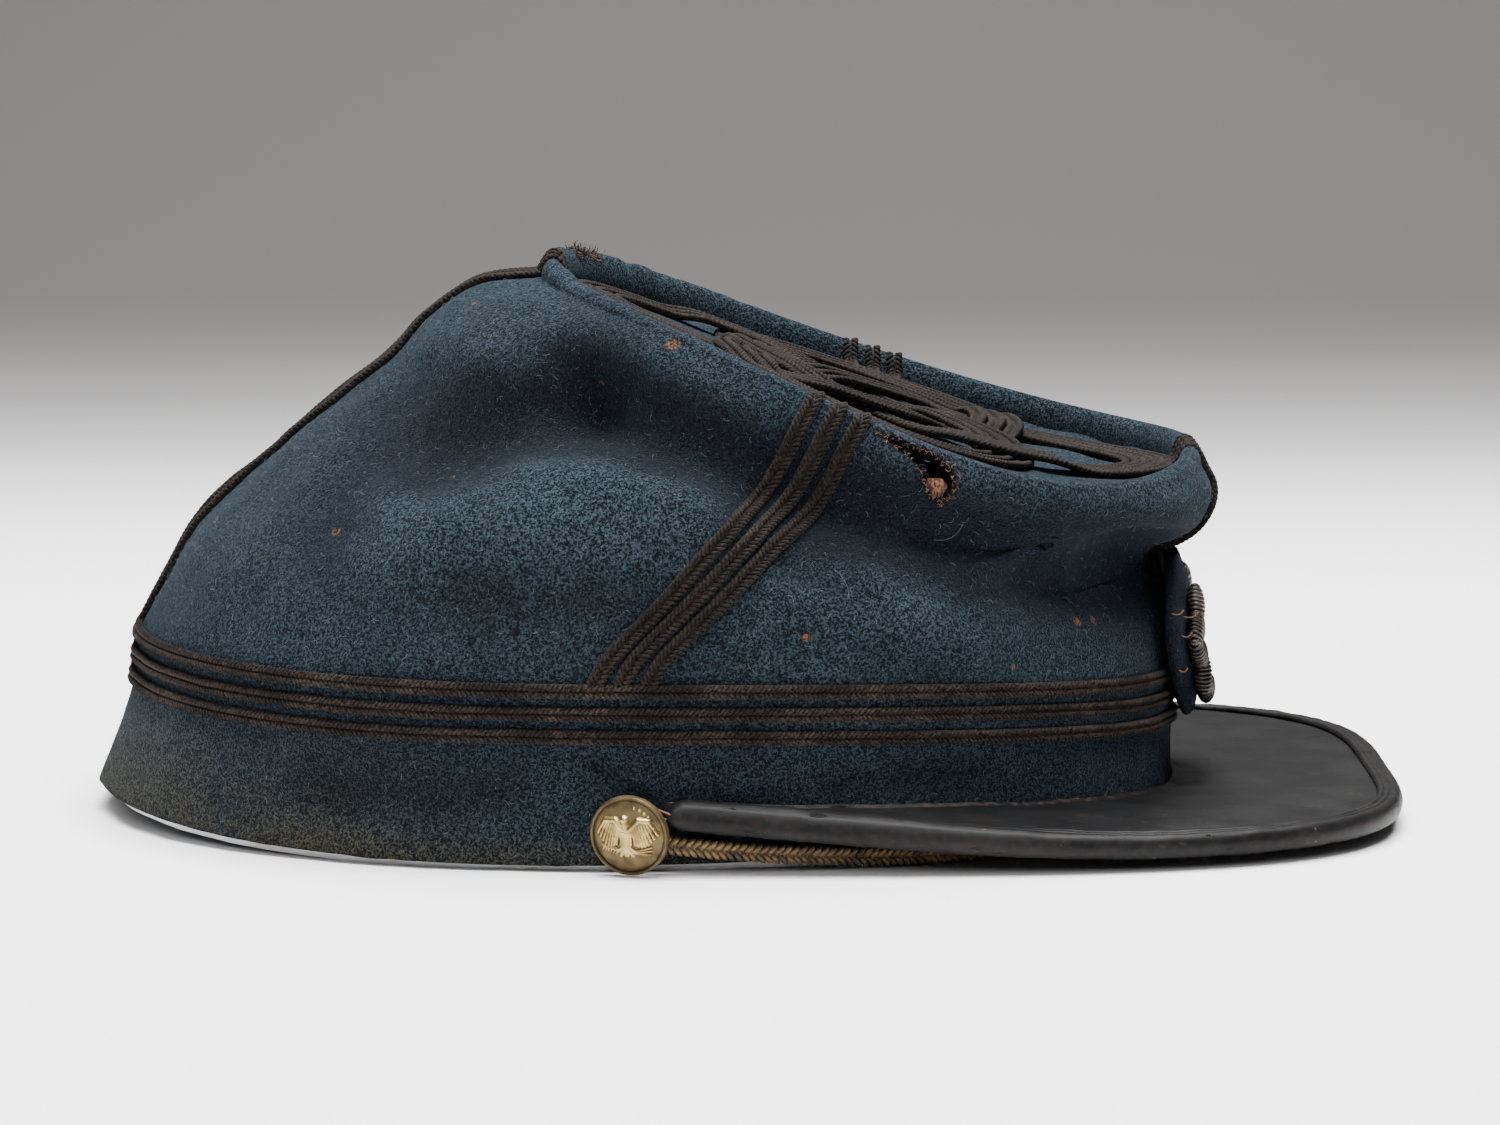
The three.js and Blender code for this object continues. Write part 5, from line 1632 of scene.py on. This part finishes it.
def ring_tree():
    tree, value = new_tree("rings along a leaf", "Middles", {"Wire": 0.0004}, "Rings")
    axes = {"Primary Axis": named("along"), "Secondary Axis": named("out")}
    turn = Wire.node("FunctionNodeAxesToRotation", {"primary_axis": "Z", "secondary_axis": "X"}, axes)
    circle = Wire.node("GeometryNodeCurvePrimitiveCircle", None, {"Resolution": 12, "Radius": 1.0})
    laid = {"Points": value["Middles"], "Instance": circle, "Rotation": turn, "Scale": named("size")}
    rings = Wire.node("GeometryNodeInstanceOnPoints", None, laid)
    loops = Wire.node("GeometryNodeRealizeInstances", None, {"Geometry": rings})
    round_wire = {"Resolution": 4, "Radius": value["Wire"]}
    wire_circle = Wire.node("GeometryNodeCurvePrimitiveCircle", None, round_wire)
    tubes = Wire.node("GeometryNodeCurveToMesh", None, {"Curve": loops, "Profile Curve": wire_circle})
    rounded = Wire.node("GeometryNodeSetShadeSmooth", None, {"Geometry": tubes})
    return give(tree, rounded, value["Material"])


def make_wreath():
    middles, alongs, outs, sizes = [], [], [], []

    def bow(degrees, lift):
        a = math.radians(degrees)
        across = math.cos(a) * WREATH_SIZE[0] / BADGE_WIDTH
        return badge_face(across, math.sin(a) * WREATH_SIZE[1] / BADGE_HEIGHT, lift)

    def frame_at(degrees):
        along = unit(bow(degrees + 1, 0) - bow(degrees - 1, 0))
        out = unit(bow(degrees, 1) - bow(degrees, 0))
        aside = unit(np.cross(along, out))
        return along, aside, np.cross(aside, along)

    for i in range(WREATH_LEAVES):
        degrees = mixed(*WREATH_DEGREES, (i + 0.5) / WREATH_LEAVES)
        along, aside, out = frame_at(degrees)
        lean = math.radians(24 if i % 2 else -24)
        way = along * math.cos(lean) + aside * math.sin(lean)
        for k in range(RINGS_A_LEAF):
            share = (k + 0.5) / RINGS_A_LEAF * 2 - 1
            full = math.sqrt(1 - 0.96 * share**2)
            middles.append(bow(degrees, LEAF[2] / 2 + 0.2) + way * share * LEAF[0] / 2)
            alongs.append(way)
            outs.append(out)
            sizes.append((LEAF[2] / 2000 * full, LEAF[1] / 2000 * full, 1))
    for degrees in np.linspace(*WREATH_DEGREES, STEM_RINGS):
        along, aside, out = frame_at(degrees)
        middles.append(bow(degrees, LEAF[2] / 2 + 0.2))
        alongs.append(along)
        outs.append(out)
        sizes.append((0.0009, 0.0009, 1))
    mesh = new_mesh("rings", middles)
    for name, values in (("along", alongs), ("out", outs), ("size", sizes)):
        add_vectors(mesh, name, values)
    rings = grow(linked("rings", mesh), ring_tree(), Material=material("black bullion", bullion_paint))
    settle(linked("badge_wreath", rings), ["badge_wreath"])
    print("wreath faces:", len(rings.polygons))


make_wreath()

# %% [markdown]
# ## Stitches and loose thread ends
# Four coarse stitches hold each end of the visor's binding to the band, and a few ends of
# the thread that sewed the badge on still show at its edge. Each is a short bent tube.

# %% Stitches
def thread(name, runs, radius, finish):
    """Short tubes along runs of points, as one piece."""
    corners = all_round(6)
    points, faces, start = [], [], 0
    for run in runs:
        run = np.array(run, float)
        along = unit(np.gradient(run, axis=0))
        side = unit(np.cross(along, [0.12, 0.31, 0.94]))
        top = np.cross(side, along)
        ring = side[:, None] * np.cos(corners)[None, :, None] + top[:, None] * np.sin(corners)[None, :, None]
        tube_points, tube_faces = capped_tube(run[:, None] + ring * radius)
        points.append(tube_points)
        faces += [[i + start for i in face] for face in tube_faces]
        start += len(tube_points)
    put_right(new_piece(name, np.concatenate(points), faces, finish))


def bowed(start, end, lift):
    share = np.linspace(0, 1, 9)[:, None]
    straight = mixed(np.array(start, float), np.array(end, float), share)
    return straight + np.sin(np.pi * share) * np.array(lift, float)


# Each row: from x and z, to x and z, in millimetres.
STITCHES = [(8.4, 11.6, 5.2, 12.4), (7.9, 10.7, 4.6, 11.1), (7.5, 9.7, 4.3, 9.7), (7.2, 8.7, 4.2, 8.3)]
for name, side in (("stitches_right", -1), ("stitches_left", 1)):
    runs = []
    for from_x, from_z, to_x, to_z in STITCHES:
        runs.append(bowed((from_x, side * 88.2, from_z), (to_x, side * 85.6, to_z), (0, side * 0.8, 0.2)))
    thread(name, runs, 0.24, tan_thread)

# %% Thread ends at the badge
# Each row: across and up in shares of the badge, and the end's reach in millimetres.
THREAD_ENDS = [
    (-0.97, 0.38, 2.2), (-0.8, 0.3, 2.8), (-0.9, 0.1, 2.0), (-0.78, -0.08, 2.6), (-0.95, -0.3, 1.6)
]
ends = []
for across, up, reach in THREAD_ENDS:
    root = badge_face(across, up, 0.0)
    ends.append(bowed(root, root + np.array((reach, -reach * 0.5, reach * 0.4)), (0.2, -0.3, -0.5)))
thread("badge_threads", ends, 0.14, tan_thread)
